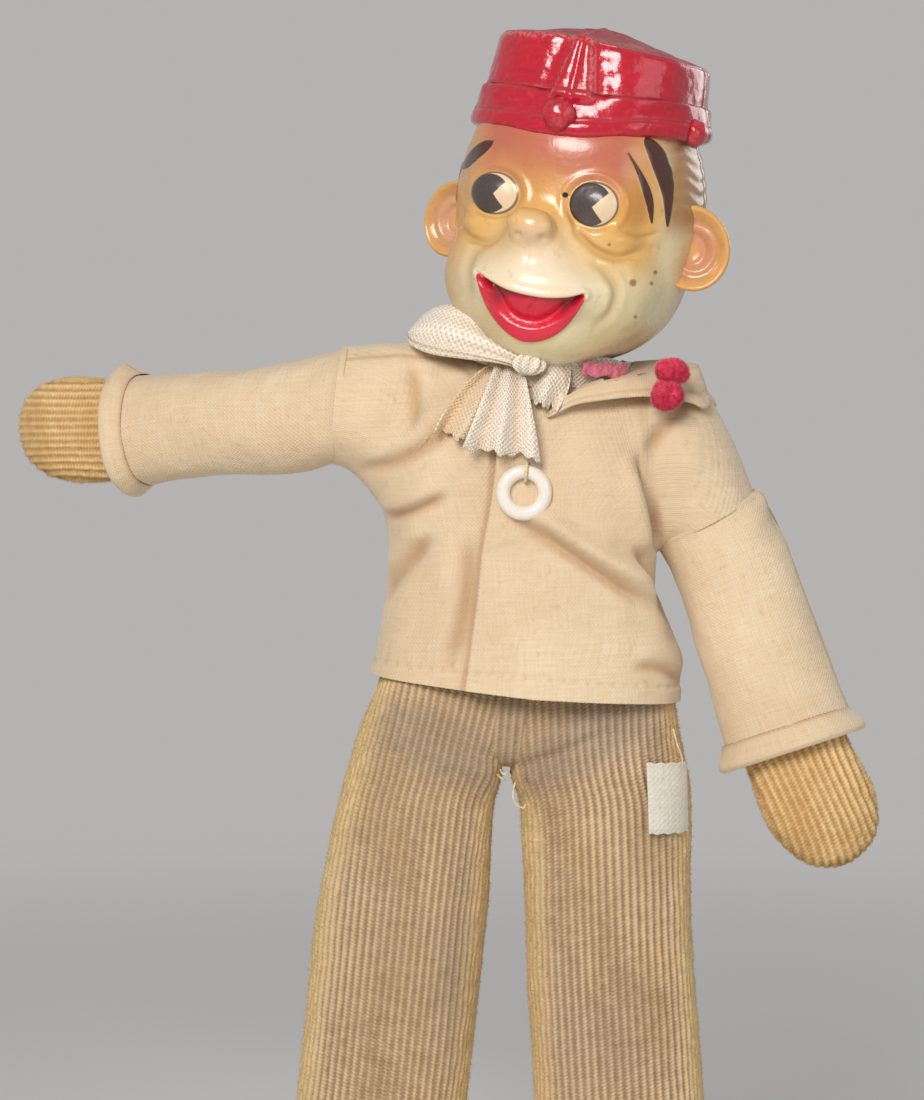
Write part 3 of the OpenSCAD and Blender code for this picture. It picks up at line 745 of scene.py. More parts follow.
def withAxis(p, value=None):
    # closes an open half of the head through its own axis: one more column, on the middle line
    if value is not None:
        return np.concatenate([value, value[:, :1]], axis=1)
    axis = p[:, :1] * [0, 0, 1] + [0, head["seamY"], 0]
    return np.concatenate([p, axis], axis=1)


def makeHeadHalf(name, turns, tilts, material, node):
    # one half of the moulded head: where rays from its middle meet the melted shape, plus the relief
    p = headRays(turns, tilts)
    n = awayFrom(p, normalsOf(p, False), np.array(head["middle"]))
    height, table = faceRelief(p)
    edge = np.minimum(np.arange(len(turns)), np.arange(len(turns))[::-1])
    height = height - 0.16 * np.exp(-edge / 1.5)
    p = p + n * height[..., None]
    closed = put(withAxis(p), headPlace)
    values = {key: withAxis(p, value) for key, value in table.items()}
    piece = solidGrid(name, closed, material, values, body="head")
    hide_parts(node)
    return piece


def makeCelluloid():
    # glossy painted shell: airbrushed skin, hand-painted eyes, brows and mouth, with small flecks and scuffs
    # with painted shade in the creases, on the back half and low on the jaw
    w, done = newMaterial("paintedCelluloid")
    spot = w.place()
    wander = w.math("MULTIPLY_ADD", w.noise(spot, 0.9, 3.0), 0.12, -0.06)

    def parts(name):
        node = w.tree.nodes.new("ShaderNodeSeparateXYZ")
        w.tree.links.new(w.vector(name), node.inputs[0])
        return node.outputs

    def inside(distance, soft=0.07, loose=1.0):
        # one inside a painted outline, with a soft and slightly unsteady edge
        moved = w.math("MULTIPLY_ADD", wander, loose, distance)
        return w.step(moved, soft, -soft)
    eyes, marks, air, blush, relief = [parts(x) for x in ("eyes", "marks", "airbrush", "blush", "relief")]
    patches = w.group(mottle, "Patches", Place=spot, Size=16.0, Seed=2.0)
    skin = w.mix(patches, paint("#e2d4ab"), paint("#d8c797"))
    # tan paint on hair and temples, and painted shade on the back half and low on the jaw
    skin = w.mix(w.math("MULTIPLY", relief[1], 0.95), skin, paint("#a97c4c"))
    skin = w.mix(w.math("MULTIPLY", blush[0], 0.95), skin, paint("#efdcc2"))
    skin = w.mix(w.math("MULTIPLY", air[2], 0.9), skin, paint("#dfa951"))
    skin = w.mix(air[1], skin, paint("#cf8a3c"))
    skin = w.mix(w.math("MULTIPLY", air[0], 0.95), skin, paint("#bb6650"))
    skin = w.mix(w.math("MULTIPLY", blush[1], 0.6), skin, paint("#d9b59c"))
    # painted shade in the moulded creases and the ear's fold
    skin = w.mix(w.math("MULTIPLY", relief[0], 0.45), skin, paint("#a8824a"))
    skin = w.mix(w.math("MULTIPLY", relief[2], 0.8), skin, paint("#7c4022"))
    flecks = w.group(mottle, "Flecks", Place=spot, Size=40.0, Seed=9.0)
    skin = w.mix(w.math("MULTIPLY", flecks, 0.22), skin, paint("#9a6a3a"))
    white = w.mix(w.noise(spot, 1.6), paint("#e9d3b2"), paint("#dcc09a"))
    iris = w.mix(w.noise(spot, 2.2, 4.0), paint("#332b29"), paint("#5a4e49"))
    pupil = w.math("MULTIPLY", inside(eyes[1]), w.math("SUBTRACT", 1.0, inside(eyes[2])))
    eye = w.mix(pupil, white, iris)
    rim = w.step(w.math("ABSOLUTE", w.math("ADD", eyes[0], 0.15)), 0.34, 0.16)
    eye = w.mix(w.math("MULTIPLY", rim, 0.8), eye, paint("#3a2a22"))
    color = w.mix(inside(eyes[0], 0.06), skin, eye)
    lips = w.mix(blush[2], paint("#d61d3a"), paint("#8f0c20"))
    color = w.mix(inside(marks[1], 0.09), color, lips)
    hairPaint = w.mix(w.noise(w.place((1, 1, 0.25)), 3.0, 4.0), paint("#3b1d18"), paint("#57301f"))
    color = w.mix(inside(marks[0], 0.09), color, hairPaint)
    color = w.mix(inside(marks[2], 0.1, 2.0), color, paint("#1d1512"))
    scuff = w.group(mottle, "Patches", Place=w.place((1, 1, 3)), Size=7.0, Seed=31.0)
    gloss = w.math("MULTIPLY_ADD", scuff, 0.10, 0.22)
    peel = w.bump(w.noise(spot, 0.5, 3.0), 0.10)
    peel = w.bump(w.noise(spot, 3.5, 3.0), 0.012, peel)
    return done(color, gloss, peel, Coat_Weight=0.35, Coat_Roughness=0.09, IOR=1.5,
                Subsurface_Weight=0.04, Subsurface_Scale=0.002)


celluloid = makeCelluloid()
faceTurns = head["front"] * np.sinh(1.1 * np.linspace(-1, 1, 301)) / np.sinh(1.1)
backTurns = np.linspace(head["front"], 360 - head["front"], 161)
faceTilts = np.concatenate([np.linspace(28, 55, 40)[:-1], np.linspace(55, 125, 210)[:-1],
                            np.linspace(125, 164, 52)])
makeHeadHalf("faceShell", faceTurns, faceTilts, celluloid, "head_front_shell")
makeHeadHalf("backShell", backTurns, np.linspace(28, 164, 150), celluloid, "head_back_shell")
print("head made")


# moulded hat

hat = dict(
    base=47.4, brimR=26.7, bandR=26.2, crownR=25.2, topR=23.7, topZ=67.6, peakZ=71.4, square=2.7,
    pleatTurn=5, pleatTop=2.0, pleatSpread=0.21, middleY=0.6,
    lean=0.085, slot=(-4.6, -5.2, 3.6, 1.1), ballTurns=(3, -104, 77), ballZ=(51.0, 51.0, 51.0),
    ballR=(3.6, 2.9, 2.9),
)


def makeHat():
    # a profile of radius against height carried round a rounded square, with a pleat down the front
    h = hat
    profile = [  # radius, height
        (h["brimR"] - 3.6, h["base"] + 0.2), (h["brimR"] - 1.2, h["base"] - 0.1),
        (h["brimR"], h["base"] + 0.8), (h["brimR"] + 0.1, h["base"] + 2.6),
        (h["brimR"] - 0.3, h["base"] + 3.5), (h["bandR"] + 0.2, h["base"] + 3.9),
        (h["bandR"], h["base"] + 4.6), (h["bandR"] - 0.1, h["base"] + 8.0),
        (h["bandR"] - 0.5, h["base"] + 8.8), (h["crownR"], h["base"] + 9.2),
        (h["crownR"] - 0.1, h["base"] + 10), (h["topR"] + 0.7, h["topZ"] - 4),
        (h["topR"] + 0.3, h["topZ"] - 1.1), (h["topR"] - 0.3, h["topZ"] - 0.2),
        (h["topR"] - 1.3, h["topZ"] + 0.25), (16, h["topZ"] + 1.3), (8, h["topZ"] + 2.7), (0.8, h["peakZ"])]
    rows, cols = 210, 310
    line = through(profile, np.linspace(0, 1, rows))
    a = circle(cols)[None, :]
    rs, zs = line[:, :1], line[:, 1:]
    squared = (np.abs(np.cos(a)) ** h["square"] + np.abs(np.sin(a)) ** h["square"]) ** (-1 / h["square"])
    amount = smooth(h["base"] + 2, h["base"] + 10, zs)
    shape = 1 + (squared / 1.07 - 1) * amount
    xs, ys = rs * shape * np.sin(a), -rs * shape * np.cos(a) + h["middleY"]
    onTop = smooth(h["topZ"] - 0.4, h["topZ"] + 0.5, zs)
    middle = np.radians(h["pleatTurn"])
    across = rs * np.sin(a - middle) * (np.cos(a - middle) > 0) + 99 * (np.cos(a - middle) <= 0)
    half = h["pleatTop"] + (h["topZ"] - zs) * h["pleatSpread"]
    onPleat = smooth(h["base"] + 6.5, h["base"] + 9, zs) * (1 - onTop)
    bulge = 1.5 * smooth(half + 1.0, half - 1.2, np.abs(across)) + 0.4 * bell(np.abs(across) - half, 0.55)
    bulge = (bulge - 0.55 * bell(across, 0.6)) * onPleat
    dent = 0.3 * bell(np.abs(across) - half - 2.8, 1.6) * onPleat
    ridge = 1.2 * bell(across, 1.3) * onTop * smooth(1, 8, rs)
    lean = h["lean"] * (zs - h["base"])
    sag = 0.11 * np.maximum(xs, -4) * smooth(h["base"] + 6, h["topZ"], zs)
    dip = 1.8 * smooth(8, 26, xs) - 1.1 * bell((xs - 1) / 10, 1.0) * (ys < 0)
    dip = dip * smooth(h["base"] + 14, h["base"] + 3, zs)
    p = np.stack(np.broadcast_arrays(xs + lean, ys, zs + ridge - sag + dip), axis=-1).astype(float)
    n = awayFrom(p, normalsOf(p, True), np.array([0, 0, 58.0]))
    x, y, slotLong, slotWide = h["slot"]
    slot = np.maximum(np.abs(p[..., 0] - x + 0.25 * (p[..., 1] - y)) - slotLong,
                      np.abs(p[..., 1] - y) - slotWide)
    slot = np.where(onTop > 0.5, slot, 9)
    uneven = 0.16 * rough(p, 11, 21) + 0.1 * onTop * rough(p, 6, 22)
    seam = 0.3 * bell(p[..., 1] - head["seamY"], 0.5)
    height = bulge - dent + uneven - seam - 1.6 * smooth(0.25, -0.25, slot)
    p = p + n * height[..., None]
    dust = (onTop * (0.72 + 0.2 * rough(p, 9, 5)) + 0.5 * bell(zs - h["base"] - 9, 0.7)
            + 0.35 * bell(zs - h["base"] - 3.8, 0.6))
    values = dict(
        dust=np.clip(dust + 0 * p[..., 0], 0, 1),
        slot=slot,
        worn=np.clip(bell(p[..., 2] - h["topZ"], 0.7) + onPleat * bell(np.abs(across) - half, 0.45), 0, 1))
    piece = solidGrid("hat", put(p, headPlace), hatRed, values, body="head")
    balls = []
    for angle, z, r in zip(h["ballTurns"], h["ballZ"], h["ballR"]):
        u, v = np.meshgrid(np.linspace(0.02, np.pi - 0.02, 30), circle(44), indexing="ij")
        swirl = 1 + 0.05 * np.sin(3 * v + 5 * u) * np.sin(u)
        b = stacked(np.sin(u) * np.cos(v), -np.cos(u) * 0.85, np.sin(u) * np.sin(v)) * r * swirl[..., None]
        t = np.radians(angle)
        b = b @ turn([0, 0, 1], angle).T + [np.sin(t) * 26.6, -np.cos(t) * 26.6 + h["middleY"], z]
        balls.append(b)
    for number, b in enumerate(balls):
        values = dict(dust=np.full(b.shape[:2], 0.12), slot=np.full(b.shape[:2], 9.0),
                      worn=np.full(b.shape[:2], 0.15))
        ball = solidGrid(f"hatButton{number + 1}", put(b, headPlace), hatRed, values, body="head")


def makeHatRed():
    # crimson lacquer over the moulding, dusty and rubbed on top and along its raised edges
    w, done = newMaterial("crimsonLacquer")
    spot = w.place()
    streak = w.noise(w.place((1, 1, 5)), 0.22, 4.0)
    color = w.mix(streak, paint("#98081f"), paint("#d01733"))
    color = w.mix(w.step(w.noise(spot, 0.7, 4.0), 0.56, 0.7, 0.0, 0.5), color, paint("#c9343a"))
    worn = w.math("MULTIPLY", w.value("worn"), w.step(w.noise(spot, 1.3, 4.0), 0.42, 0.6))
    color = w.mix(w.math("MULTIPLY", worn, 0.55), color, paint("#d98a84"))
    dust = w.math("MULTIPLY", w.value("dust"), w.step(w.noise(spot, 1.0, 5.0), 0.15, 0.75, 0.45, 1.0))
    color = w.mix(w.math("MULTIPLY", dust, 0.8), color, paint("#8b4a4b"))
    # the slot painted near black, as painted shade inside the slit
    color = w.mix(w.step(w.value("slot"), 0.1, -0.1), color, paint("#260608"))
    gloss = w.math("MULTIPLY_ADD", dust, 0.5, 0.16)
    bump = w.bump(w.noise(spot, 0.45, 2.0), 0.18)
    bump = w.bump(w.math("MULTIPLY", w.noise(spot, 3.0, 3.0), dust), 0.05, bump)
    clear = w.math("MULTIPLY_ADD", dust, -0.6, 0.34, clamp=True)
    return done(color, gloss, bump, Coat_Weight=clear, Coat_Roughness=0.08)


hatRed = makeHatRed()
makeHat()
print("hat made")


# ears

ear = dict(across=27.8, y=-3.4, z=25.8, wide={right: 7.6, left: 8.2}, tall={right: 9.2, left: 9.9}, thick=2.2,
           outward=16)


def makeEar(side):
    # rings from the middle of the bowl out over the rolled rim and round to the back, each an egg-shaped oval
    e = ear
    a = circle(150)[None, :]
    t = np.linspace(0.012, 1, 130)[:, None]
    far = through([(0, 0), (0.2, 0), (0.42, 0), (0.6, 0), (0.78, 0), (0.93, 0), (1.0, 0), (0.9, 0), (0.6, 0),
                   (0.02, 0)], t[:, 0])[:, :1]
    deepness = through([(1.6,), (1.5,), (0.9,), (0.7,), (-0.4,), (-1.3,), (-0.4,), (0.9,), (1.9,), (2.4,)],
                       t[:, 0])
    frontFace = smooth(0.62, 0.55, t)
    fold = 0.75 * bell(far - 0.52 - 0.06 * np.cos(a), 0.1) * (0.55 + 0.45 * np.cos(a + 0.2)) * frontFace
    fold = fold - 0.35 * bell(far - 0.36, 0.08) * frontFace
    outline = 1 + 0.07 * np.cos(2 * a + 0.5) - 0.05 * np.cos(a + 1.2)
    xs = far * e["wide"][side] * outline * np.cos(a)
    z = far * e["tall"][side] * outline * np.sin(a)
    y = deepness - fold + 0.10 * rough(stacked(xs, 0 * xs, z), 7, 8)
    p = np.stack(np.broadcast_arrays(xs, y, z), axis=-1) * [side, 1, 1]
    p = p @ turn([0, 0, 1], side * e["outward"]).T + [side * e["across"], e["y"], e["z"]]
    bowl = np.clip(bell(far - 0.45, 0.3) * frontFace + 0 * a, 0, 1)
    fold = np.clip(bell(far - 0.7, 0.09) * frontFace + 0 * a, 0, 1)
    shape = p.shape[:2]
    nothing = np.full(shape, 9.0)
    table = dict(
        eyes=np.stack([nothing] * 3, -1), marks=np.stack([nothing] * 3, -1),
        airbrush=stacked(bowl * (0.25 if side == right else 0.6), np.clip(bowl * 0.7 + 0.35, 0, 1),
                         np.full(shape, 0.9)),
        blush=stacked(0.5 * bowl, bowl * (0.9 if side == right else 0.5), 0 * nothing),
        # the fold's share darkens the ear's fold as painted shade
        relief=stacked(0.7 * fold, 0 * nothing, 0 * nothing))
    piece = solidGrid("ear" + sideName[side].title(), put(p, headPlace), celluloid, table, body="head")


for side in (right, left):
    makeEar(side)
print("ears made")


# cloth finishes

def makeCotton(name, light, dark, grimeAndShade, threads):
    # plain-weave cotton: thread crossings as relief, slubs and faint stains as colour, shadow in the folds
    w, done = newMaterial(name)
    cloth, spot = w.vector("cloth"), w.place()
    woven = w.group(weave, None, Cloth=cloth, Threads=threads, Uneven=0.14)
    color = w.mix(w.step(woven["Slub"], 0.35, 0.65), paint(light), paint(dark))
    color = w.mix(w.math("MULTIPLY", woven["Gap"], 0.4), color, paint(grimeAndShade))
    stain = w.group(mottle, "Patches", Place=spot, Size=34.0, Seed=5.0)
    color = w.mix(w.math("MULTIPLY", stain, 0.22), color, paint(grimeAndShade))
    flecks = w.group(mottle, "Flecks", Place=spot, Size=30.0, Seed=3.0)
    color = w.mix(w.math("MULTIPLY", flecks, 0.2), color, paint(grimeAndShade))
    # painted shade in folds, seams, sunk stitches and beside the lap's edge, in the dark colour
    color = w.mix(w.math("MULTIPLY", w.value("creaseShade"), 0.6), color, paint(grimeAndShade))
    height = w.math("MULTIPLY_ADD", woven["Slub"], 0.6, woven["Height"])
    bump = w.bump(height, 0.09, w.bump(w.noise(spot, 0.35, 3.0), 0.25))
    return done(color, 0.86, bump, Sheen_Weight=0.25, Sheen_Roughness=0.5, Specular_IOR_Level=0.25)


def makeCorduroy(name, crest, valley, glow, grimeAndShade, wale=1.78):
    # ribbed pile, from x across the cloth and y along it: each rib is a crest with a twist of tufts that
    # starts afresh in the next one; worn ribs turn pale, stained and shaded ones grey (painted shade),
    # and edges take the glow colour as painted sheen
    w, done = newMaterial(name)
    cloth, spot = w.vector("cloth"), w.place()
    split = w.tree.nodes.new("ShaderNodeSeparateXYZ")
    w.tree.links.new(cloth, split.inputs[0])
    across = w.math("MULTIPLY", w.math("MULTIPLY_ADD", w.noise(spot, 5.0, 2.0), 0.3, split.outputs[0]),
                    1 / wale)
    rib = w.math("MULTIPLY_ADD", w.math("COSINE", w.math("MULTIPLY", across, 2 * np.pi)), 0.5, 0.5)
    inRib = w.math("FRACT", w.math("ADD", across, 0.5))
    number = w.math("FLOOR", w.math("ADD", across, 0.5))
    twist = w.math("MULTIPLY_ADD", inRib, 0.9, w.math("MULTIPLY", split.outputs[1], 1 / 0.8))
    twist = w.math("MULTIPLY_ADD", number, 0.37, w.math("MULTIPLY_ADD", w.noise(spot, 1.6, 2.0), 0.9, twist))
    tuft = w.math("MULTIPLY_ADD", w.math("SINE", w.math("MULTIPLY", twist, 2 * np.pi)), 0.5, 0.5)
    pile = w.noise(spot, 0.42, 4.0, 0.75)
    rubbed = w.group(mottle, "Patches", Place=w.place((1, 1, 0.5)), Size=19.0, Seed=77.0)
    ribSeen = w.math("MULTIPLY", rib, w.math("MULTIPLY_ADD", rubbed, -0.8, 1.1))
    shade = w.math("MULTIPLY_ADD", ribSeen, 0.4, w.math("MULTIPLY_ADD", tuft, 0.2,
                                                        w.math("MULTIPLY", pile, 0.62)))
    # painted sheen: the edge values lift the sides towards the crest colour
    plain = w.math("MULTIPLY_ADD", w.value("edge"), 0.35, shade)
    color = w.mix(w.step(plain, 0.22, 0.98), paint(valley), paint(crest))
    worn = w.group(mottle, "Patches", Place=spot, Size=26.0, Seed=14.0)
    color = w.mix(w.math("MULTIPLY", w.math("MULTIPLY", worn, rib), 0.4), color, paint(glow))
    dirt = w.group(mottle, "Patches", Place=spot, Size=40.0, Seed=44.0)
    color = w.mix(w.math("MULTIPLY", dirt, 0.25), color, paint(grimeAndShade))
    # the stain values: painted shade in folds, round the crotch and over the seat, in the grime colour
    color = w.mix(w.math("MULTIPLY", w.value("stain"), 0.55), color, paint(grimeAndShade))
    # painted sheen on the sides, in the glow colour
    color = w.mix(w.math("MULTIPLY", w.value("edge"), w.step(pile, 0.3, 0.7, 0.35, 1.0)), color, paint(glow))
    height = w.math("MULTIPLY_ADD", tuft, 0.3, w.math("MULTIPLY_ADD", rib, 0.6, pile))
    bump = w.bump(height, 0.24)
    return done(color, 0.9, bump, Sheen_Weight=0.5, Sheen_Roughness=0.35, Sheen_Tint=paint(glow),
                Specular_IOR_Level=0.2)


cotton = makeCotton("jacketCotton", "#e9d5b6", "#e2c9a4", "#b68a60", 2.2)
oliveCord = makeCorduroy("oliveCorduroy", "#e6cba7", "#9d7b59", "#e3c283", "#8b7d72")
goldCord = makeCorduroy("goldCorduroy", "#f8d8a0", "#bb8a50", "#f6d69a", "#c79e66", 1.8)


# jacket

jacket = dict(
    thick=0.8, square=2.35, rows=150, across=80, overlap=0.222, lapRise=2.7,
    # nine heights from the hem to the sleeve seam: the front edge, the side, how far the chest stands
    # forward between them, and how far the section has turned from a flat half oval to a ring round the arm
    front={
        right: [(0, -21.5, 10.6), (0, -20.5, 28), (0, -20.4, 45), (0, -19.6, 62), (3.5, -17.5, 76.5),
                (11.5, -9, 85), (20, 0, 87.4), (34, 0, 86.8), (49, 0, 84.4)],
        left: [(0, -21.5, 10.6), (0, -20.5, 28), (0, -20.4, 45), (0, -19.6, 62), (4.5, -16.5, 74.5),
               (12.5, -8, 82.6), (19, 0, 86), (33.5, 0, 80.5), (46.2, 0, 58.6)]},
    side={
        right: [(36.4, 11.8), (35.0, 24), (34.2, 34), (34.6, 42), (36.2, 47.4), (38.6, 51), (42, 54.4),
                (45.6, 56.8), (49.4, 57.8)],
        left: [(33.2, 11.6), (32.2, 22), (28.0, 31), (25.6, 36), (24.8, 39.2), (24.4, 41), (24.4, 42.4),
               (24.8, 43.8), (26.2, 45.6)]},
    bulge={right: [19, 19, 19, 19, 18.5, 17.5, 16, 14.4, 13.2],
           left: [19, 19, 19, 19, 18.6, 18, 17, 15, 13.0]},
    ring={right: [0, 0, 0, 0.12, 0.4, 0.72, 0.92, 1, 1], left: [0, 0, 0, 0.12, 0.4, 0.72, 0.92, 1, 1]},
    cut={right: 0.62, left: 0.62},       # share of the rows that stays with the torso
    # a way in the arm's own axes and its two ends, handed to the shoulder pieces but not used there
    bend={right: ((-0.29, 0, -0.957), -10, -1.2), left: ((0.45, 0, -0.89), -13, 0.5)},
)


def jacketSurface(side, v, t):
    # rows run from the front edge (t 0) round the side (t 1) to the back edge (t 2). Low rows are quarter
    # ovals, and rows at the arm are half rings; each row is a mix of the two with the same ends
    j = jacket
    back = t > 1
    s = np.where(back, 2 - t, t)
    f, q = through(j["front"][side], v), through(j["side"][side], v)
    f[..., 0] = np.where(back, f[..., 0] * smooth(0.52, 0.74, v), f[..., 0])  # no neck opening behind
    bulge = through(np.array(j["bulge"][side])[:, None], v)[..., 0]
    ring = np.clip(through(np.array(j["ring"][side])[:, None], v)[..., 0], 0, 1)
    c, d = np.cos(s * np.pi / 2), np.sin(s * np.pi / 2)
    c, d = np.abs(c) ** (2 / j["square"]), np.abs(d) ** (2 / j["square"])
    flatX, flatY = d * q[..., 0] + c * f[..., 0], c * f[..., 1]
    flatZ = f[..., 2] + (q[..., 1] - f[..., 2]) * d
    half = (1 - np.cos(s * np.pi)) / 2
    ringX = f[..., 0] + (q[..., 0] - f[..., 0]) * half
    ringZ = f[..., 2] + (q[..., 1] - f[..., 2]) * half
    ringY = f[..., 1] * (1 - half) - np.sin(s * np.pi) * bulge
    pairs = ((flatX, ringX), (flatY, ringY), (flatZ, ringZ))
    xs, y, z = [flat + (turned - flat) * ring for flat, turned in pairs]
    return stacked(side * xs, np.where(back, -y, y), z)


def creaseLine(p, points, above, below, width, ends=0.3):
    # a soft tuck seen from the front, by signed distance s from its line:
    # above * bell(s - width) - below * bell(s + 0.2 width) of half the width, fading out at both ends
    line = through(points, np.linspace(0, 1, 40))
    best, signed, along = [np.full(p.shape[:-1], k) for k in (1e9, 0.0, 0.0)]
    for k, (a, b) in enumerate(zip(line[:-1], line[1:])):
        e, dx, dz = b - a, p[..., 0] - a[0], p[..., 2] - a[1]
        t = np.clip((dx * e[0] + dz * e[1]) / (e @ e), 0, 1)
        d = np.hypot(dx - t * e[0], dz - t * e[1])
        cross = np.sign(e[0] * dz - e[1] * dx)
        near = d < best
        signed, along = np.where(near, d * cross, signed), np.where(near, (k + t) / 39, along)
        best = np.minimum(best, d)
    fade = smooth(0, ends, along) * smooth(1, 1 - ends, along)
    lift = above * bell(signed - width, width) - below * bell(signed + 0.2 * width, 0.55 * width)
    return lift * fade, fade * bell(signed + 0.15 * width, 0.5 * width)


def jacketFolds(p):
    # height of the folds over the jacket's smooth form, in the torso's own frame, and where shadow gathers
    front = smooth(2, -6, p[..., 1])
    height = 0.55 * rough(p * [1, 1, 0.7], 46, 61) + 0.2 * rough(p * [1, 1, 0.8], 15, 62)
    creaseShade = np.zeros(p.shape[:-1])
    folds = [  # line as (x, z), rise above, sink below, width
        ([(-10, 50.5), (-2, 47.5), (8, 42), (18, 36), (28, 30)], 1.5, 1.6, 2.6),
        ([(24.5, 44), (23, 51), (20.5, 59), (17.5, 67)], 1.2, 1.9, 2.4),
        ([(31, 27), (25, 34), (20.5, 41), (18, 47)], 0.9, 0.9, 2.4),
        ([(-44, 57), (-35, 60), (-26, 66), (-18, 74)], 0.7, 0.9, 3.0),
        ([(-37, 47), (-30, 49.5), (-22, 54)], 0.8, 0.8, 2.4),
        ([(-36, 28), (-32, 37), (-25, 45)], 1.0, 1.0, 2.8),
        ([(-33, 82), (-31, 75), (-31, 66)], 0.5, 0.5, 2.6),
        ([(20, 66), (24, 74), (29, 81)], 0.6, 0.7, 2.8),
        ([(20, 20), (27, 19.5), (35, 16)], 0.5, 0.5, 2.6),
        ([(-20, 14), (-17, 30), (-18, 46)], 0.5, 0.5, 3.6),
    ]
    for line, above, below, width in folds:
        lift, shade = creaseLine(p, line, above, below, width)
        height += 1.6 * lift * front
        creaseShade = np.maximum(creaseShade, shade * front)
    dent = bell(np.hypot(p[..., 0] + 30.5, (p[..., 2] - 40) * 0.8), 5.0) * front
    height -= 1.7 * dent
    backFold = np.sin(p[..., 0] * 0.32 + 0.12 * p[..., 2] + 0.8) * smooth(60, 20, p[..., 2]) * (1 - front)
    height += 0.7 * backFold
    hem = bell(p[..., 2] - 15.2, 0.5)
    stitch = np.maximum(np.sin(p[..., 0] * 2 * np.pi / 2.6), 0)
    height += 0.30 * smooth(15.0, 14.2, p[..., 2]) - 0.28 * hem * (0.35 + 0.65 * stitch)
    # the second value is painted shade in the folds and along the sunk hem stitches
    return height, np.clip(creaseShade + 0.5 * hem * stitch, 0, 1)


def makeJacketPart(name, side, v, t, lift, bodies, nodes):
    # a cut of the jacket's surface moved out along its normal by fold height + lift - seam
    vs, ts = np.meshgrid(v, t, indexing="ij")
    p = jacketSurface(side, vs, np.abs(ts))
    if t[0] < 0:                         # the lap of the left front carries on over the right front
        other = jacketSurface(-side, vs, np.abs(ts))
        p = np.where((ts < 0)[..., None], other, p)
    n = awayFrom(p, normalsOf(p, False), np.array([0, 0, 50.0]))
    height, creaseShade = jacketFolds(p)
    lift = lift * smooth(0.9, 0.25, ts) * smooth(0.6, 0.42, vs)
    seam = bell((ts - 1) * 40, 0.8) * 0.25 * smooth(0, 0.1, vs)
    p = p + n * (height + lift - seam)[..., None]
    arc = np.cumsum(np.linalg.norm(np.diff(p, axis=1, prepend=p[:, :1]), axis=-1), axis=1)
    start = np.argmin(np.abs(t - 1))
    u = arc - arc[:, start:start + 1]
    flat = stacked(u, p[..., 2] - 0.12 * p[..., 0], 0 * u)
    # painted shadow on the right front just beside the left front's lap edge
    if side == right and nodes and t[-1] <= 1:
        creaseShade = creaseShade + 0.95 * bell((ts - jacket["overlap"] - 0.012) / 0.014, 1.0)
    # painted shade along the side seam as well
    values = dict(cloth=flat, creaseShade=np.clip(creaseShade + 0.5 * bell((ts - 1) * 40, 1), 0, 1))
    core = put(np.array([0, 0, 45.0]) + 0 * p, torsoPlace)
    piece = clothGrid(name, put(p, torsoPlace), jacket["thick"], core, cotton, values)
    if bodies:
        start, end = bodies
        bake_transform(piece)
    else:
        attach(piece, "torso")
    if nodes:
        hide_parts(*nodes)
    return piece


def makeJacket():
    # on each side a front, a back and two shoulder pieces, parted at the cut row
    j = jacket
    lowT, overlap = np.linspace(0, 1, j["across"]), j["overlap"]
    for side in (right, left):
        word = sideName[side].title()
        cut = j["cut"][side]
        body, cap = np.linspace(0, cut, j["rows"]), np.linspace(cut - 0.012, 1, 80)
        frontT = lowT if side == right else np.concatenate([np.linspace(-overlap, 0, 20)[:-1], lowT])
        frontLift = 0.0 if side == right else j["lapRise"]
        nodes = ["jacket_front_" + sideName[side]]
        makeJacketPart("jacketFront" + word, side, body, frontT, frontLift * 0.8, None, nodes)
        makeJacketPart("jacketBack" + word, side, body, lowT + 1, 0, None, ["jacket_back"])
        (origin, turned), (way, begin, end) = armPlace[side], j["bend"][side]
        way = turned @ np.array(way)
        ends = (origin + way * begin, origin + way * end)
        makeJacketPart("shoulderFront" + word, side, cap, lowT, frontLift * 0.8, ends,
                       ["shoulder_pad_" + sideName[side]])
        makeJacketPart("shoulderBack" + word, side, cap, lowT + 1, 0, ends, [])


makeJacket()
print("jacket made")


# sleeves, cuffs and mittens

sleeve = dict(end=60, long=62, rows=120, around=150, thick=0.8, square=2.2,
              wide={right: [13.0, 12.4, 12.0, 12.3, 13.2], left: [12.9, 13.1, 13.6, 14.2, 15.0]},
              deepIn={right: [12.8, 12.0, 11.4, 11.2, 11.5], left: [12.7, 12.1, 11.8, 11.6, 11.8]})
cuff = dict(back=7.0, flare=0.5, around=180)
mitten = dict(tip={right: 88.6, left: 87.2}, start=40, wide=12.9, deepIn=9.6, square=2.35, wale=1.8, rib=0.42,
              rows=150, around=300)


def ovalRings(centres, acrossWay, deepWay, around, square):
    # a squared oval at each centre: across carries the cosine, deep the sine, both raised to 2/square
    a = circle(around)
    c, s = np.cos(a), np.sin(a)
    c, s = np.sign(c) * np.abs(c) ** (2 / square), np.sign(s) * np.abs(s) ** (2 / square)
    return centres[:, None] + acrossWay[:, None] * c[:, None] + deepWay[:, None] * s[:, None]


def ringLengths(p):
    # distance round each ring from its first point
    step = np.linalg.norm(p - np.roll(p, 1, axis=1), axis=-1)
    step[:, 0] = 0
    return np.cumsum(step, axis=1)


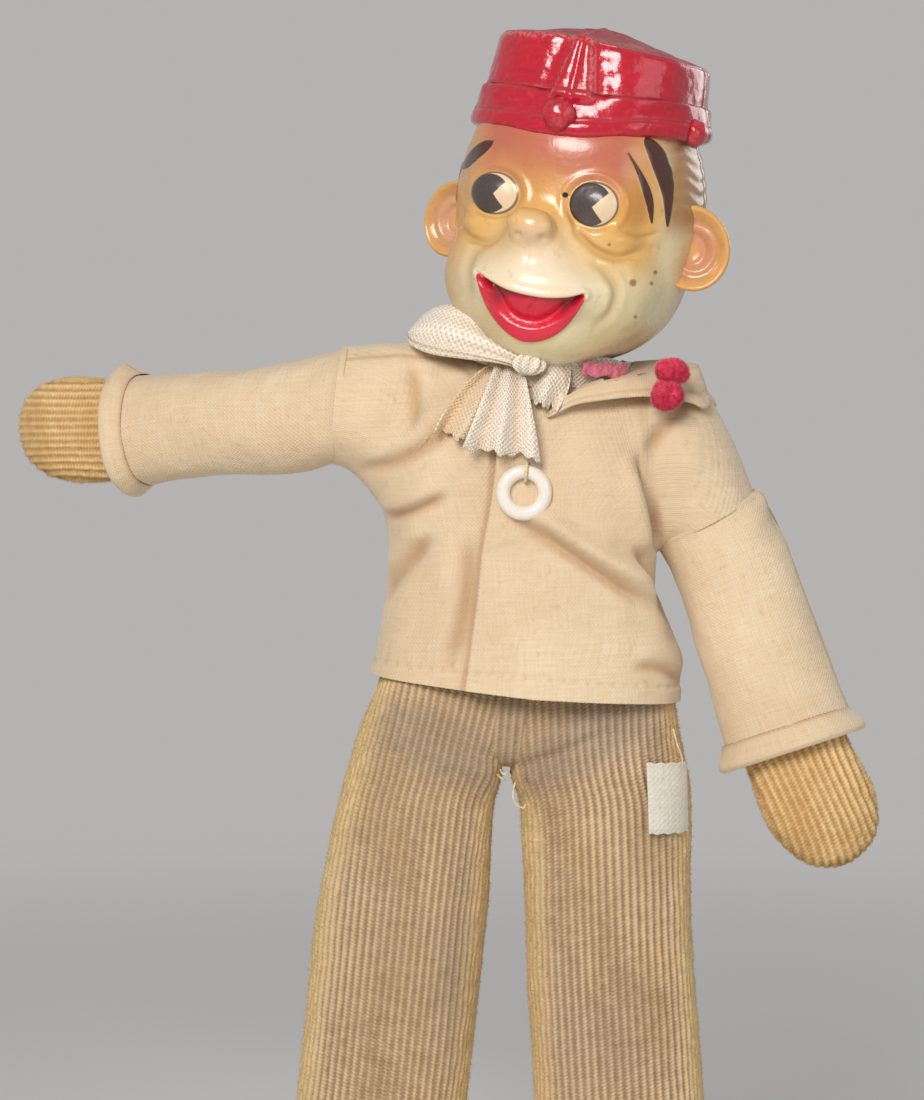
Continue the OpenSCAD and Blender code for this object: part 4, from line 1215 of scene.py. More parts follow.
def sleeveForm(side, t):
    # the tube starts as the jacket's last ring and turns into an oval across the arm's own axis
    f, q = np.array(jacket["front"][side][-1], float), np.array(jacket["side"][side][-1], float)
    q = np.array([q[0], 0, q[1]])
    flip = np.array([side, 1, 1])
    begin = put((f + q) / 2 * flip, torsoPlace)
    beginAcross = ((f - q) / 2 * flip) @ torsoAxes.T
    origin, turned = armPlace[side]
    x, y, z = turned.T
    if beginAcross @ x < 0:
        x = -x
    path = [begin + z * 1.6] + [origin - z * d for d in (16, 32, 46, sleeve["end"])]
    centres = through(path, t)
    wide = through(np.array(sleeve["wide"][side])[:, None], t)
    deepIn = through(np.array(sleeve["deepIn"][side])[:, None], t)
    over = smooth(0, 0.35, t)[:, None]
    acrossWay = unit(beginAcross) * (1 - over) + x * over
    acrossWay /= np.linalg.norm(acrossWay, axis=1, keepdims=True)
    deepWay = deep * (1 - over) + y * over
    deepWay /= np.linalg.norm(deepWay, axis=1, keepdims=True)
    return centres, acrossWay * wide, deepWay * deepIn


def makeSleeve(side):
    # ovals along the arm moved out by soft folds, gathers along the seam and a sunk stitch line
    word = sideName[side]
    t = np.linspace(0, 1, sleeve["rows"])
    p = ovalRings(*sleeveForm(side, t), sleeve["around"], sleeve["square"])
    n = awayFrom(p, normalsOf(p, True), p.mean(1, keepdims=True))
    ts = t[:, None]
    local = (p - armPlace[side][0]) @ armPlace[side][1]
    height = 0.5 * rough(local * [1, 1, 0.6], 34, 71 + side) + 0.16 * rough(local, 12, 73 + side)
    height = height * smooth(0, 0.12, ts)
    arc = ringLengths(p)
    whole = arc[:, -1:]
    seamAt = 0.30 if side == right else 0.97
    seam = bell((arc / whole - seamAt) * 90, 0.8)
    nearSeam = bell(arc / whole - seamAt, 0.12)
    ruck = np.sin(ts * 30 + 3 * np.sin(arc / whole * 6.28)) * nearSeam * smooth(0.35, 0.0, ts)
    height += 0.9 * ruck - 0.45 * seam - 0.25 * bell(ts, 0.012) + 0.3 * bell(ts - 0.03, 0.02)
    p = p + n * height[..., None]
    # painted shade along the seam and at the sleeve's top under the shoulder cap
    values = dict(cloth=stacked(arc - whole * seamAt, ts * sleeve["long"] + 0 * arc, 0 * arc),
                  creaseShade=np.clip(0.8 * seam + 0.4 * bell(ts, 0.008) + 0 * arc, 0, 1))
    core = p.mean(1, keepdims=True)
    piece = clothGrid("sleeve" + word.title(), p, sleeve["thick"], core, cotton, values, around=True)
    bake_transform(piece)
    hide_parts("sleeve_" + word)
    return piece


def makeCuff(side):
    # the sleeve's end turned back on itself: a loop in section, carried round the sleeve's own ovals
    word = sideName[side]
    loop = through([(-cuff["back"], 0.2), (-cuff["back"] * 0.6, 0.9), (-2.5, 1.2), (-0.4, 1.0), (0.5, 0.1),
                    (-0.2, -0.9), (-2.4, -0.5), (-cuff["back"] * 0.6, -0.2), (-cuff["back"], 0.2)],
                    np.linspace(0, 1, 64))[:-1]
    t = 1 + loop[:, 0] / sleeve["long"]
    centres, acrossWay, deepWay = sleeveForm(side, np.clip(t, 0, 1))
    centres = centres - armPlace[side][1][:, 2] * (np.maximum(t - 1, 0) * sleeve["long"])[:, None]
    p = ovalRings(centres, acrossWay, deepWay, cuff["around"], sleeve["square"])
    n = p - p.mean(1, keepdims=True)
    n /= np.linalg.norm(n, axis=-1, keepdims=True)
    a = circle(cuff["around"])[None, :]
    flare = cuff["flare"] * smooth(-cuff["back"], 0, loop[:, :1])
    corners = bell(np.sin(a / 2), 0.16) + bell(np.cos(a / 2), 0.16)
    ears = (0.9 if side == right else 0.5) * corners * smooth(-cuff["back"], -1, loop[:, :1])
    local = (p - armPlace[side][0]) @ armPlace[side][1]
    height = loop[:, 1:] + flare + ears + 0.3 * rough(local, 17, 81 + side)
    p = p + n * height[..., None]
    p = np.swapaxes(p, 0, 1)
    arc = np.arange(cuff["around"])[:, None] * 0.45
    # painted shade where the turned-back cuff meets the sleeve
    values = dict(cloth=stacked(arc, loop[None, :, 0] + 60.0, 0.0),
                  creaseShade=np.broadcast_to(bell(loop[None, :, 0] + cuff["back"], 0.7), p.shape[:2]))
    rows, cols = p.shape[:2]
    quads = gridFaces(rows + 1, cols, True) % (rows * cols)
    table = {key: spread(value, (rows, cols)) for key, value in values.items()}
    piece = makeMesh("cuff" + word.title(), p.reshape(-1, 3), quads, np.zeros((0, 3), int), cotton, table,
                     "arm_" + word)
    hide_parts("cuff_" + word)
    return piece


def ribHeight(across, wale):
    # one corduroy rib for each wale, 1 high: (0.5 + 0.5 cos(2 pi across / wale)) ^ 0.7
    return (0.5 + 0.5 * np.cos(2 * np.pi * across / wale)) ** 0.7


def makeMitten(side):
    # a squared oval that closes to a round tip; the ribs run straight along it and stop at the side seam
    word = sideName[side]
    m = mitten
    t = np.linspace(0, 1, m["rows"])
    tip = m["tip"][side]
    length = m["start"] + (tip - m["start"]) * np.sin(t * np.pi / 2) ** 0.9
    swell = through([(0.8,), (0.86,), (0.95,), (1.0,), (1.02,), (0.98,)], t)[:, 0]
    roundEnd = np.clip(1 - np.clip((length - 70) / (tip - 70), 0, 1) ** 2.4, 0, 1) ** 0.5
    swell = swell * np.maximum(roundEnd, 0.012)
    origin, turned = armPlace[side]
    x, y, z = turned.T
    if side == right:
        x = -x
    bend = (2.6 if side == left else 1.8) * smooth(50, 90, length)
    centres = origin - z * length[:, None] + x * bend[:, None]
    p = ovalRings(centres, x * (m["wide"] * swell)[:, None], y * (m["deepIn"] * swell)[:, None], m["around"],
                  m["square"])
    n = awayFrom(p, normalsOf(p, True), p.mean(1, keepdims=True))
    across = (p - centres[:, None]) @ x
    depth = (p - centres[:, None]) @ y
    fan = across * (1 + 0.05 * np.sin(length[:, None] / 9))
    onFace = smooth(0.0, 0.35, np.abs(depth) / (m["deepIn"] * np.maximum(swell, 0.1))[:, None])
    rib = ribHeight(fan, m["wale"]) * onFace + (1 - onFace) * 0.5
    local = (p - origin) @ turned
    fuzz = 0.12 * rough(local, 2.3, 93 + side, 3) + 0.4 * rough(local, 24, 91)
    seam = bell(depth, 0.35) * np.ones_like(rib)
    height = m["rib"] * (rib - 0.5) * smooth(0.0, 0.2, swell[:, None]) + fuzz - 0.35 * seam
    p = p + n * height[..., None]
    # edge is painted sheen on the sides and at the tip
    values = dict(cloth=stacked(fan, length[:, None] + 0 * fan, 0 * fan),
                  edge=np.clip(0.6 * (1 - onFace) + 0.3 * smooth(80, 88, length[:, None]), 0, 1),
                  stain=0 * fan)
    outside = 0.05 + smooth(0.75, 0.15, np.abs(n @ y))
    outside[length < 56] = 0
    hairs = pileHairs(p, n, values, outside, 7000, 0.75, 95 + side)
    piece = solidGrid("mitten" + word.title(), p, goldCord, values, body="arm_" + word, hairs=hairs)
    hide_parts("arm_skin_" + word, "arm_stuffing_" + word)
    return piece


for side in (right, left):
    makeSleeve(side)
    makeCuff(side)
    makeMitten(side)
print("sleeves, cuffs and mittens made")


# what lies on the jacket

def frontCloud():
    # points all over the jacket's front, folds included
    v, t = np.meshgrid(np.linspace(0, 1, 70), np.linspace(0, 0.75, 40), indexing="ij")
    both = []
    for side in (right, left):
        p = jacketSurface(side, v, t)
        n = awayFrom(p, normalsOf(p, False), np.array([0, 0, 50.0]))
        both.append((p + n * jacketFolds(p)[0][..., None]).reshape(-1, 3))
    return np.concatenate(both)


jacketFront = frontCloud()


def frontAt(x, z, lift):
    # depth of the jacket's front at each (x, z), less lift: the mean of its twenty nearest points, each
    # weighted by exp(-distance^2 / 5)
    x, z, lift = np.broadcast_arrays(np.asarray(x, float), z, lift)
    gap = (x.reshape(-1, 1) - jacketFront[:, 0]) ** 2 + (z.reshape(-1, 1) - jacketFront[:, 2]) ** 2
    near = np.argpartition(gap, 20, axis=1)[:, :20]
    weight = np.exp(-np.take_along_axis(gap, near, 1) / 5) + 1e-5
    depth = (jacketFront[near, 1] * weight).sum(1) / weight.sum(1)
    return depth.reshape(x.shape) - lift


def drape(p, lift):
    # keeps points at least lift in front of the jacket
    p = p.copy()
    p[..., 1] = np.minimum(p[..., 1], frontAt(p[..., 0], p[..., 2], lift))
    return p


# collar

collar = dict(
    rows=220, across=34, thick=0.8, long=190.0, wide=13.0,
    # from the left front round the left shoulder, the back and the right shoulder to the right front:
    # the edge inside the neck, the fold and the free edge
    stations=[((-1, -18.4, 71), (-1.0, -20.6, 74.6), (-2.4, -21.0, 72.0)),
              ((3, -17, 76.2), (3.0, -20.0, 78.2), (3.4, -20.8, 75.2)),
              ((7, -14.5, 79.2), (8.0, -18.2, 80.4), (9.5, -19.8, 76.8)),
              ((12, -10, 82.0), (15.0, -14.6, 82.4), (18.6, -17.4, 78.4)),
              ((15, -6, 84.4), (23, -9.4, 84.8), (27.0, -15.4, 78.6)),
              ((16, -2, 86.0), (28.6, -4.6, 86.4), (32.6, -12.6, 77.6)),
              ((17, 2, 86.8), (30.4, 0.5, 87.2), (34.6, -4.4, 78.8)),
              ((15, 8, 86.0), (27, 9, 87.4), (35.5, 13.5, 77.5)),
              ((7, 14, 85.0), (12, 15.5, 86.6), (17, 22.0, 70.5)),
              ((-6, 14, 85.0), (-10, 15.5, 86.6), (-15, 22.0, 70.5)),
              ((-15, 8, 86.0), (-25, 9, 87.8), (-34.0, 13.5, 78.0)),
              ((-16, -2, 86.4), (-23, -3, 88.0), (-28.5, -6.5, 85.0)),
              ((-12, -9, 83.6), (-14, -12.6, 85.4), (-15.5, -15.5, 82.0)),
              ((-5, -17, 78), (-5.4, -18.6, 80.6), (-6.6, -19.8, 78.4))],
)


def makeCollar():
    # each cross-section is a smooth line from the neck edge over the fold to the free edge
    t = np.linspace(0, 1, collar["rows"])
    base, fold, free = [through([s[k] for s in collar["stations"]], t) for k in range(3)]
    rolled = fold + (free - fold) * 0.12 + np.array([0, 0, 0.35])
    u = np.linspace(0, 1, collar["across"])
    p = np.stack([through(np.stack([base[i], (base[i] + fold[i]) / 2 + [0, 0, 0.7], fold[i], rolled[i],
                                    (fold[i] + free[i]) / 2 + [0, -0.5, 0], free[i]]), u)
                                    for i in range(len(t))])
    front = p[..., 1] < 0
    lifted = drape(p, 1.1 + 0.7 * smooth(0.5, 1, u)[None, :])
    hold = (smooth(27, 20, np.abs(p[..., 0])) * smooth(0.3, 0.5, u) * front)[..., None]
    p = p + (lifted - p) * hold
    n = awayFrom(p, normalsOf(p, False), np.array([0, 0, 70.0]))
    height = 0.35 * rough(p, 17, 131) + 0.4 * bell(u - 0.93, 0.04) - 0.25 * bell(u - 0.86, 0.02)
    p = p + n * (height * smooth(0.3, 0.6, u))[..., None]
    # painted shade just under the collar's rolled fold
    values = dict(cloth=stacked(t[:, None] * collar["long"], u * collar["wide"], 0.0),
                  creaseShade=np.clip(0.8 * bell(u - 0.86, 0.018) + 0 * t[:, None], 0, 1))
    core = put(np.array([0, 0, 70.0]) + 0 * p, torsoPlace)
    piece = clothGrid("collar", put(p, torsoPlace), collar["thick"], core, cotton, values, body="torso")
    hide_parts("jacket_collar")
    return piece


makeCollar()


torsoPad = dict(
    rows=90, around=140, square=2.3,
    # height, half width, half depth
    heights=[(9, 27, 14.4), (14, 28.5, 15.4), (24, 26, 15.6), (36, 21.4, 15.4), (50, 20.6, 15), (64, 21, 14),
             (76, 19, 11), (82, 13, 9), (85, 8.6, 8.4)])


def makeTorsoPad():
    # the stuffed body inside the jacket: ovals |x / wide|^n + |y / depth|^n = 1 from the seat to the neck
    z, wide, depth = through(torsoPad["heights"], np.linspace(0, 1, torsoPad["rows"])).T
    straight, back = np.array([1.0, 0, 0]) * wide[:, None], np.array([0, 1.0, 0]) * depth[:, None]
    p = ovalRings(stacked(0 * z, -2 * smooth(70, 84, z), z), straight, back,
                  torsoPad["around"], torsoPad["square"])
    n = p - p.mean(1, keepdims=True)
    p = p + unitRows(n) * (0.5 * rough(p, 22, 141))[..., None]
    values = dict(cloth=stacked(ringLengths(p), p[..., 2], 0 * p[..., 2]), creaseShade=0 * p[..., 0])
    piece = solidGrid("torsoPad", put(p, torsoPlace), cotton, values, body="torso")
    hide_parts("torso_stuffing", "torso_skin")
    return piece


def unitRows(v):
    # every vector of an array divided by its own length
    return v / (np.linalg.norm(v, axis=-1, keepdims=True) + 1e-9)


makeTorsoPad()
print("collar and torso made")


# ribbon, bow, felt and pompom

def makeRibbonCloth(name, thread, shade, gap):
    # an open weave: pale shiny threads each way with darker gaps between them
    w, done = newMaterial(name)
    cloth, spot = w.vector("cloth"), w.place()
    woven = w.group(weave, None, Cloth=cloth, Threads=1.9, Uneven=0.3)
    color = w.mix(w.step(w.noise(spot, 7.0, 2.0), 0.4, 0.62), paint(thread), paint(shade))
    color = w.mix(w.math("MULTIPLY", w.step(woven["Height"], 0.45, 0.05), 0.55), color, paint(gap))
    # painted shade in folds, pleats and between ridges, in the gap colour
    color = w.mix(w.math("MULTIPLY", w.value("creaseShade"), 0.6), color, paint(gap))
    bump = w.bump(woven["Height"], 0.22, w.bump(w.noise(spot, 2.0, 3.0), 0.3))
    return done(color, 0.42, bump, Sheen_Weight=0.3, Specular_IOR_Level=0.6)


ribbonLight = makeRibbonCloth("ribbonLight", "#fbf5e9", "#f3e2c8", "#c39c76")
ribbonPeach = makeRibbonCloth("ribbonPeach", "#f6e2c2", "#edcfa6", "#cda57a")

bow = dict(
    thick=0.45,
    upper=dict(left=[(-14.6, 81.6), (-16.6, 75), (-18.6, 68), (-20.2, 62.6)],
               right=[(-8.4, 81.6), (-6.6, 75), (-4.6, 68), (-3.0, 61.8)], lift=4.6, pleats=2.2, sway=0.6),
    lower=dict(left=[(-15.6, 81.8), (-20.2, 77), (-23.8, 71.5), (-26.6, 66.0)],
               right=[(-10.6, 81.0), (-12.0, 75), (-12.8, 68), (-13.6, 63.4)], lift=2.2, pleats=1.8,
               sway=2.0),
    short=dict(left=[(-8.4, 82.8), (-8.2, 80.2), (-7.6, 78.0), (-6.6, 74.6)],
               right=[(1.2, 84.0), (2.0, 81.0), (1.6, 77.0), (-0.6, 72.6)], lift=3.6, pleats=1.3, sway=3.3),
)


def raised(points, up=1.2):
    # the same points with the last measure of each raised
    return [(*p[:-1], p[-1] + up) for p in points]


def makeTail(name, shape, material, seed):
    # a ribbon end between its two edges: pleats run down it and open out, and the cut end is uneven
    v, u = np.linspace(0, 1, 80), np.linspace(0, 1, 90)
    vs, us = np.meshgrid(v, u, indexing="ij")
    one, two = through(raised(shape["left"]), v)[:, None], through(raised(shape["right"]), v)[:, None]
    flat = one + (two - one) * us[..., None]
    drop = (0.9 * np.sin(us * 15 + seed) + 0.7 * np.sin(us * 37 + 2 * seed)) * smooth(0.75, 1, vs)
    x, z = flat[..., 0], flat[..., 1] + 0.55 * drop
    wave = np.sin(2 * np.pi * shape["pleats"] * us + shape["sway"] + 1.2 * vs)
    pleat = (0.9 + 0.9 * vs) * wave + 0.4 * rough(stacked(x, 0 * x, z), 9, seed)
    y = frontAt(x, z, shape["lift"] + 0.8) - pleat * (0.5 + 0.5 * smooth(0, 0.2, vs))
    p = stacked(x, y, z)
    wide, long = np.linalg.norm(two - one, axis=-1).mean(), np.linalg.norm(one[-1] - one[0])
    # painted shade in the hollows of the pleats
    values = dict(cloth=stacked((us - 0.5) * wide * 1.3, vs * long, 0 * us),
                  creaseShade=np.clip(-wave, 0, 1) ** 2 * 0.7)
    core = put(p + np.array([0, 30.0, 0]), torsoPlace)
    piece = clothGrid(name, put(p, torsoPlace), bow["thick"], core, material, values, body="torso")
    return piece


def makeLoop():
    # the bow's loop: a flat tube from the knot over the shoulder, pinched at the knot and open at its end
    t, a = np.linspace(0, 1, 110), circle(120)
    low = through([(-8.5, 82.0), (-14, 82.8), (-22, 83.2), (-29, 83.8), (-33.6, 85.6), (-34.6, 88)], t)
    high = through([(-8.0, 84.8), (-13, 87.6), (-19.5, 92.6), (-25.5, 95.2), (-30.5, 93.4), (-34.6, 88.4)], t)
    depth = through([(-21.4,), (-20.6,), (-17.2,), (-13.0,), (-9.6,), (-8.2,)], t)[:, 0]
    thick = through([(1.5,), (1.9,), (2.3,), (2.4,), (2.0,), (0.5,)], t)[:, 0]
    middle, half = (low + high) / 2, (high - low) / 2
    c, s = np.cos(a)[None, :], np.sin(a)[None, :]
    cc, ss = np.sign(c) * np.abs(c) ** 0.7, np.sign(s) * np.abs(s) ** 0.9
    x = middle[:, :1] + half[:, :1] * cc
    z = middle[:, 1:] + half[:, 1:] * cc
    rays = (1.3 * np.sin(c * 8 + 2.2 * t[:, None]) * smooth(1.0, 0.25, t[:, None])
            + 0.7 * np.sin(c * 4.2 + 1.0))
    rays = rays + 0.5 * rough(stacked(x, 0 * x, z), 10, 121)
    y = depth[:, None] + (z - middle[:, 1:]) * 0.35 + (thick[:, None] + rays * 0.6) * ss
    rollAt = bell(c + 0.72, 0.08)
    y = y + 0.9 * rollAt * (s < 0)
    p = stacked(x, y, z)
    p[..., 1] = np.minimum(p[..., 1], frontAt(x, z, 0.6) + (z > 86) * 30)
    # painted shade under the rolled edge and in the hollows between the rays
    values = dict(cloth=stacked(t[:, None] * 27 + 0 * c, c * half[:, 1:] + 0 * c, 0 * x),
                  creaseShade=np.clip(0.8 * rollAt * (s < 0) + 0.3 * np.clip(-rays, 0, 1), 0, 1))
    piece = solidGrid("bowLoop", put(p, torsoPlace), ribbonLight, values, body="torso")
    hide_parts("bow_loop")
    return piece


def ballOf(centre, radii, rows, cols, ridges=0.0, count=7):
    # an ellipsoid with its pole along z and ridges that run from pole to pole
    t, a = np.linspace(0.02, np.pi - 0.02, rows)[:, None], circle(cols)[None, :]
    bump = 1 + ridges * np.sin(a * count + 1.5 * t) * np.sin(t)
    shape = stacked(np.sin(t) * np.cos(a) * bump, np.sin(t) * np.sin(a) * bump, np.cos(t))
    return np.asarray(centre, float) + shape * np.asarray(radii, float), t + 0 * a, a + 0 * t


knot = dict(centre=(-7.4, -23.0, 83.2), radii=(3.3, 2.2, 2.5), ridges=0.16)


def makeKnot():
    # a small ellipsoid with seven ridges, with painted shade between them
    p, t, a = ballOf(knot["centre"], knot["radii"], 50, 90, knot["ridges"])
    values = dict(cloth=stacked(a * 3.6, t * 3.0, 0 * t),
                  creaseShade=np.clip(-np.sin(a * 7 + 1.5 * t), 0, 1) * 0.5)
    piece = solidGrid("bowKnot", put(p, torsoPlace), ribbonLight, values, body="torso")
    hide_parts("bow_knot")
    return piece


neck = dict(middle=(1.0, -2.5), band=12.4, bandFoot=79.0, bandWide=6.4, bandThick=0.5,
            felt=16.2, feltFrom=-78, feltTurn=46, feltFoot=81.6, feltWide=2.8, feltThick=0.9)


def neckRing(radius, a, z):
    # points at a radius and an angle round the neck, and the neck's axis as the side to face away from
    x, y = neck["middle"]
    p = stacked(x + radius * np.cos(a), y + radius * np.sin(a), z)
    return put(p, torsoPlace), put(np.array([0, y, 82.0]) + 0 * p, torsoPlace)


def makeNeckBand():
    # the ribbon round the neck: radius 12.4 + 2 v plus nine soft wrinkles, wider above
    v, a = np.linspace(0, 1, 40)[:, None], circle(220)[None, :]
    radius = neck["band"] + 2.0 * v + 0.5 * np.sin(a * 9 + 3 * v) * v
    z = neck["bandFoot"] + neck["bandWide"] * v + 0.9 * np.cos(a) + 0.35 * np.sin(a * 5) * v
    p, core = neckRing(radius, a, z)
    # painted shade along the band's middle
    values = dict(cloth=stacked(a * 13, v * neck["bandWide"], 0.0),
                  creaseShade=0.5 * bell(v - 0.5, 0.1) + 0 * a)
    piece = clothGrid("neckRibbon", p, neck["bandThick"], core, ribbonLight, values, around=True,
                      body="torso")
    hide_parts("neck_ribbon")
    return piece


def makeFelt():
    # a strip of felt on the ribbon's left front: an arc of 46 degrees with a wavy edge
    w, done = newMaterial("redFelt")
    spot = w.place()
    color = w.mix(w.step(w.noise(spot, 1.2, 4.0, 0.7), 0.35, 0.65), paint("#c8506a"), paint("#de8090"))
    felt = done(color, 0.95, w.bump(w.noise(spot, 0.4, 4.0, 0.7), 0.3), Sheen_Weight=0.6)
    v, u = np.linspace(0, 1, 12)[:, None], np.linspace(0, 1, 80)[None, :]
    a = np.radians(neck["feltFrom"] + neck["feltTurn"] * u)
    radius = neck["felt"] + 0.5 * v + 0.2 * np.sin(u * 30)
    z = neck["feltFoot"] + neck["feltWide"] * v + 0.3 * np.sin(u * 17) + 1.0 * np.cos(a)
    p, core = neckRing(radius, a, z)
    piece = clothGrid("neckFelt", p, neck["feltThick"], core, felt, {}, body="torso")
    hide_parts("neck_trim")
    return piece


pompom = dict(ends=9000, endLong=1.1,
              # centre and radii of each tuft
              tufts=[((23.8, -18.8, 84.6), (3.3, 2.4, 2.3)), ((23.2, -19.4, 79.4), (3.2, 2.4, 2.9))])


def makePompom():
    # two tufts of yarn: small ellipsoids with a rough surface and fine ends all over them
    w, done = newMaterial("redYarn")
    spot = w.place()
    color = w.mix(w.step(w.noise(spot, 0.9, 3.0), 0.35, 0.65), paint("#e4144a"), paint("#ff4a74"))
    yarn = done(color, 0.9, w.bump(w.noise(spot, 0.25, 3.0), 0.12), Sheen_Weight=0.5, Sheen_Roughness=0.4)
    made = []
    for number, (centre, radii) in enumerate(pompom["tufts"]):
        p, t, _ = ballOf(centre, radii, 70, 110, 0.05)
        p = p + (p - np.array(centre)) * (0.12 * rough(p, 3.4, 24 + number))[..., None]
        n = awayFrom(p, normalsOf(p, True), np.array(centre))
        hairs = pileHairs(p, n, {}, np.sin(t) ** 0.5, pompom["ends"], pompom["endLong"], 25 + number)
        hairs = (put(hairs[0], torsoPlace), hairs[1], {})
        made.append(solidGrid(f"pompom{number + 1}", put(p, torsoPlace), yarn, body="torso", hairs=hairs))
    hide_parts("collar_pompom")
    return made


upperTail = makeTail("bowTailUpper", bow["upper"], ribbonLight, 3)
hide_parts("bow_tail_upper")
lowerTail = makeTail("bowTailLower", bow["lower"], ribbonPeach, 5)
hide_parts("bow_tail_lower")
makeTail("bowTailShort", bow["short"], ribbonLight, 8)
makeLoop()
makeKnot()
makeNeckBand()
makeFelt()
makePompom()
print("ribbon and pompom made")


# trousers and feet

trousers = dict(
    rows=140, around=440, wale=1.78, rib=0.36, middle=-4.1, outerSquare=2.5,
    # height, outer edge, inner edge, half depth, squareness of the inner side
    outline={
        right: [(157, -11.0, 18.0, 15.6, 9), (149.2, -13.4, 17.4, 16.4, 9), (141, -16.8, 16.8, 16.8, 7),
                (134.2, -18.8, 15.6, 16.6, 4.5), (127, -20.8, 13.8, 16.2, 3), (115, -23.2, 13.0, 15.8, 2.6),
                (104, -25.2, 12.4, 15.4, 2.5), (92, -26.8, 11.5, 15.1, 2.5), (81.7, -28.0, 10.4, 14.8, 2.5),
                (70, -29.4, 9.2, 14.6, 2.5), (59.2, -30.5, 7.9, 14.4, 2.5), (45, -31.7, 6.9, 14.2, 2.5),
                (30, -32.6, 6.4, 14.1, 2.5), (15.5, -33.2, 6.2, 14.0, 2.5)],
        left: [(157, 53.5, 18.0, 15.6, 9), (149.2, 55.0, 17.4, 16.4, 9), (141, 56.2, 17.0, 16.8, 7),
               (134.2, 57.2, 17.8, 16.6, 4.5), (127, 58.0, 19.9, 16.2, 3), (115, 58.3, 20.8, 15.8, 2.6),
               (104, 58.6, 21.4, 15.4, 2.5), (92, 59.1, 21.9, 15.1, 2.5), (81.7, 59.8, 22.3, 14.8, 2.5),
               (70, 60.8, 22.8, 14.6, 2.5), (59.2, 61.6, 23.3, 14.4, 2.5), (45, 62.5, 24.0, 14.2, 2.5),
               (30, 63.2, 24.6, 14.1, 2.5), (15.5, 63.8, 25.0, 14.0, 2.5)]},
    hipBlend=(9, -10),
)


def evenRing(p, count):
    # each closed ring drawn again with its points evenly spaced along it, from its first point
    closed = np.concatenate([p, p[:, :1]], axis=1)
    step = np.linalg.norm(np.diff(closed, axis=1), axis=-1)
    along = np.concatenate([np.zeros((len(p), 1)), np.cumsum(step, axis=1)], axis=1)
    share = np.arange(count) / count
    rows = [[np.interp(share * a[-1], a, ring[:, k]) for k in range(3)] for a, ring in zip(along, closed)]
    return np.moveaxis(np.array(rows), 1, 2), share[None, :] * along[:, -1:]


def legRings(side):
    # half ovals: |x / w|^n + |y / d|^n = 1, with its own n on the outer and the inner side
    t = np.linspace(0, 1, trousers["rows"])
    z, outer, inner, depth, square = through(trousers["outline"][side], t).T
    a = circle(900)[None, :] - np.pi / 2
    c, s = np.cos(a), np.sin(a)
    n = np.where(c > 0, trousers["outerSquare"], square[:, None])
    x = (outer + inner)[:, None] / 2 + (outer - inner)[:, None] / 2 * np.sign(c) * np.abs(c) ** (2 / n)
    y = trousers["middle"] + depth[:, None] * np.sign(s) * np.abs(s) ** (2 / n)
    return evenRing(stacked(x, y, z[:, None] + 0 * x), trousers["around"])


def bendAtHip(piece):
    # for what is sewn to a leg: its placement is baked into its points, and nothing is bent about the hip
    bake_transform(piece)


def makeLeg(side):
    # a trouser leg: the half ovals of legRings moved out by rib height, soft folds and pile
    word = sideName[side]
    p, along = legRings(side)
    whole = along[:, -1:] * (1 + 1 / (trousers["around"] - 1))
    u = np.where(along > whole / 2, along - whole, along)
    n = awayFrom(p, normalsOf(p, True), p.mean(1, keepdims=True))
    sideways = smooth(0.5, 0.94, np.abs(n[..., 0]))
    rib = ribHeight(u, trousers["wale"])
    broad = 0.7 * rough(p * [1, 1, 0.5], 44, 151 + side) + 0.3 * rough(p * [1, 1, 0.6], 15, 153 + side)
    pull, shade = creaseLine(p, [(16.6, 135.5), (12, 138), (4, 141), (-6, 147)] if side == right else
                             [(17.6, 135.5), (23, 138), (31, 141), (42, 146)], 0.8, 0.9, 2.4)
    front = smooth(0, -6, p[..., 1])
    fuzz = 0.14 * rough(p, 2.1, 155 + side, 3) * (0.5 + sideways)
    hem = bell(p[..., 2] - 21.5, 0.5) * 0.3
    height = broad + pull * front + trousers["rib"] * (rib - 0.5) * (1 - 0.75 * sideways) + fuzz - hem
    keep = smooth(158, 150, p[..., 2])
    inward = np.where(p[..., 2] > 134, np.clip(side * n[..., 0], -1, 0) ** 2, 0)
    height = height * (0.2 + 0.8 * keep) * (1 - 0.8 * inward)
    p = p + n * height[..., None]
    # the hem turns in and up, so that the foot can stand inside it
    low = p[-1]
    middle = low.mean(0)
    recess = [middle + (low - middle) * [k, k, 0] + [0, 0, up]
              for k, up in ((0.975, -0.5), (0.93, 0.0), (0.9, 1.2), (0.88, 8.5))]
    p = np.concatenate([p, np.array(recess)])
    u = np.concatenate([u, np.tile(u[-1:], (4, 1))])
    # painted shade round the crotch and under the jacket's hem; the right leg is darker on its inner half
    slope = p[..., 2] - 134 - 0.42 * np.abs(p[..., 0] - 17)
    grey = (bell(slope / 7, 1.0) * smooth(36, 18, np.abs(p[..., 0] - 17)) * 1.1
            + 0.5 * bell((p[..., 2] - 146) / 6, 1.0))
    grey = np.maximum(grey, 0.75 * bell((p[..., 2] - 86) / 30, 1) * smooth(-6, 10, p[..., 0])
                      * (side == right))

    def pad(value):
        # the last row again for each of the four rows that turn in
        return np.concatenate([value] + [value[-1:]] * 4)

    # edge is painted sheen on the sides; stain holds the grey and the folds' painted shade
    values = dict(cloth=stacked(u, -p[..., 2], 0 * u), edge=pad(sideways) * 0.8,
                  stain=np.clip(grey + pad(shade * front), 0, 1) * 0.8)
    outside = pad((0.03 + sideways) * (p[:-4, :, 2] < 150) * (p[:-4, :, 2] > 17)
                  * (1 - np.clip(inward * 4, 0, 1)))
    outside[-4:] = 0
    hairs = pileHairs(p, pad(n), values, outside, 9000, 0.8, 157 + side)
    piece = solidGrid("trouserLeg" + word.title(), p, oliveCord, values, hairs=hairs)
    bendAtHip(piece)
    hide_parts("trouser_leg_" + word, "leg_stuffing_" + word)
    return piece


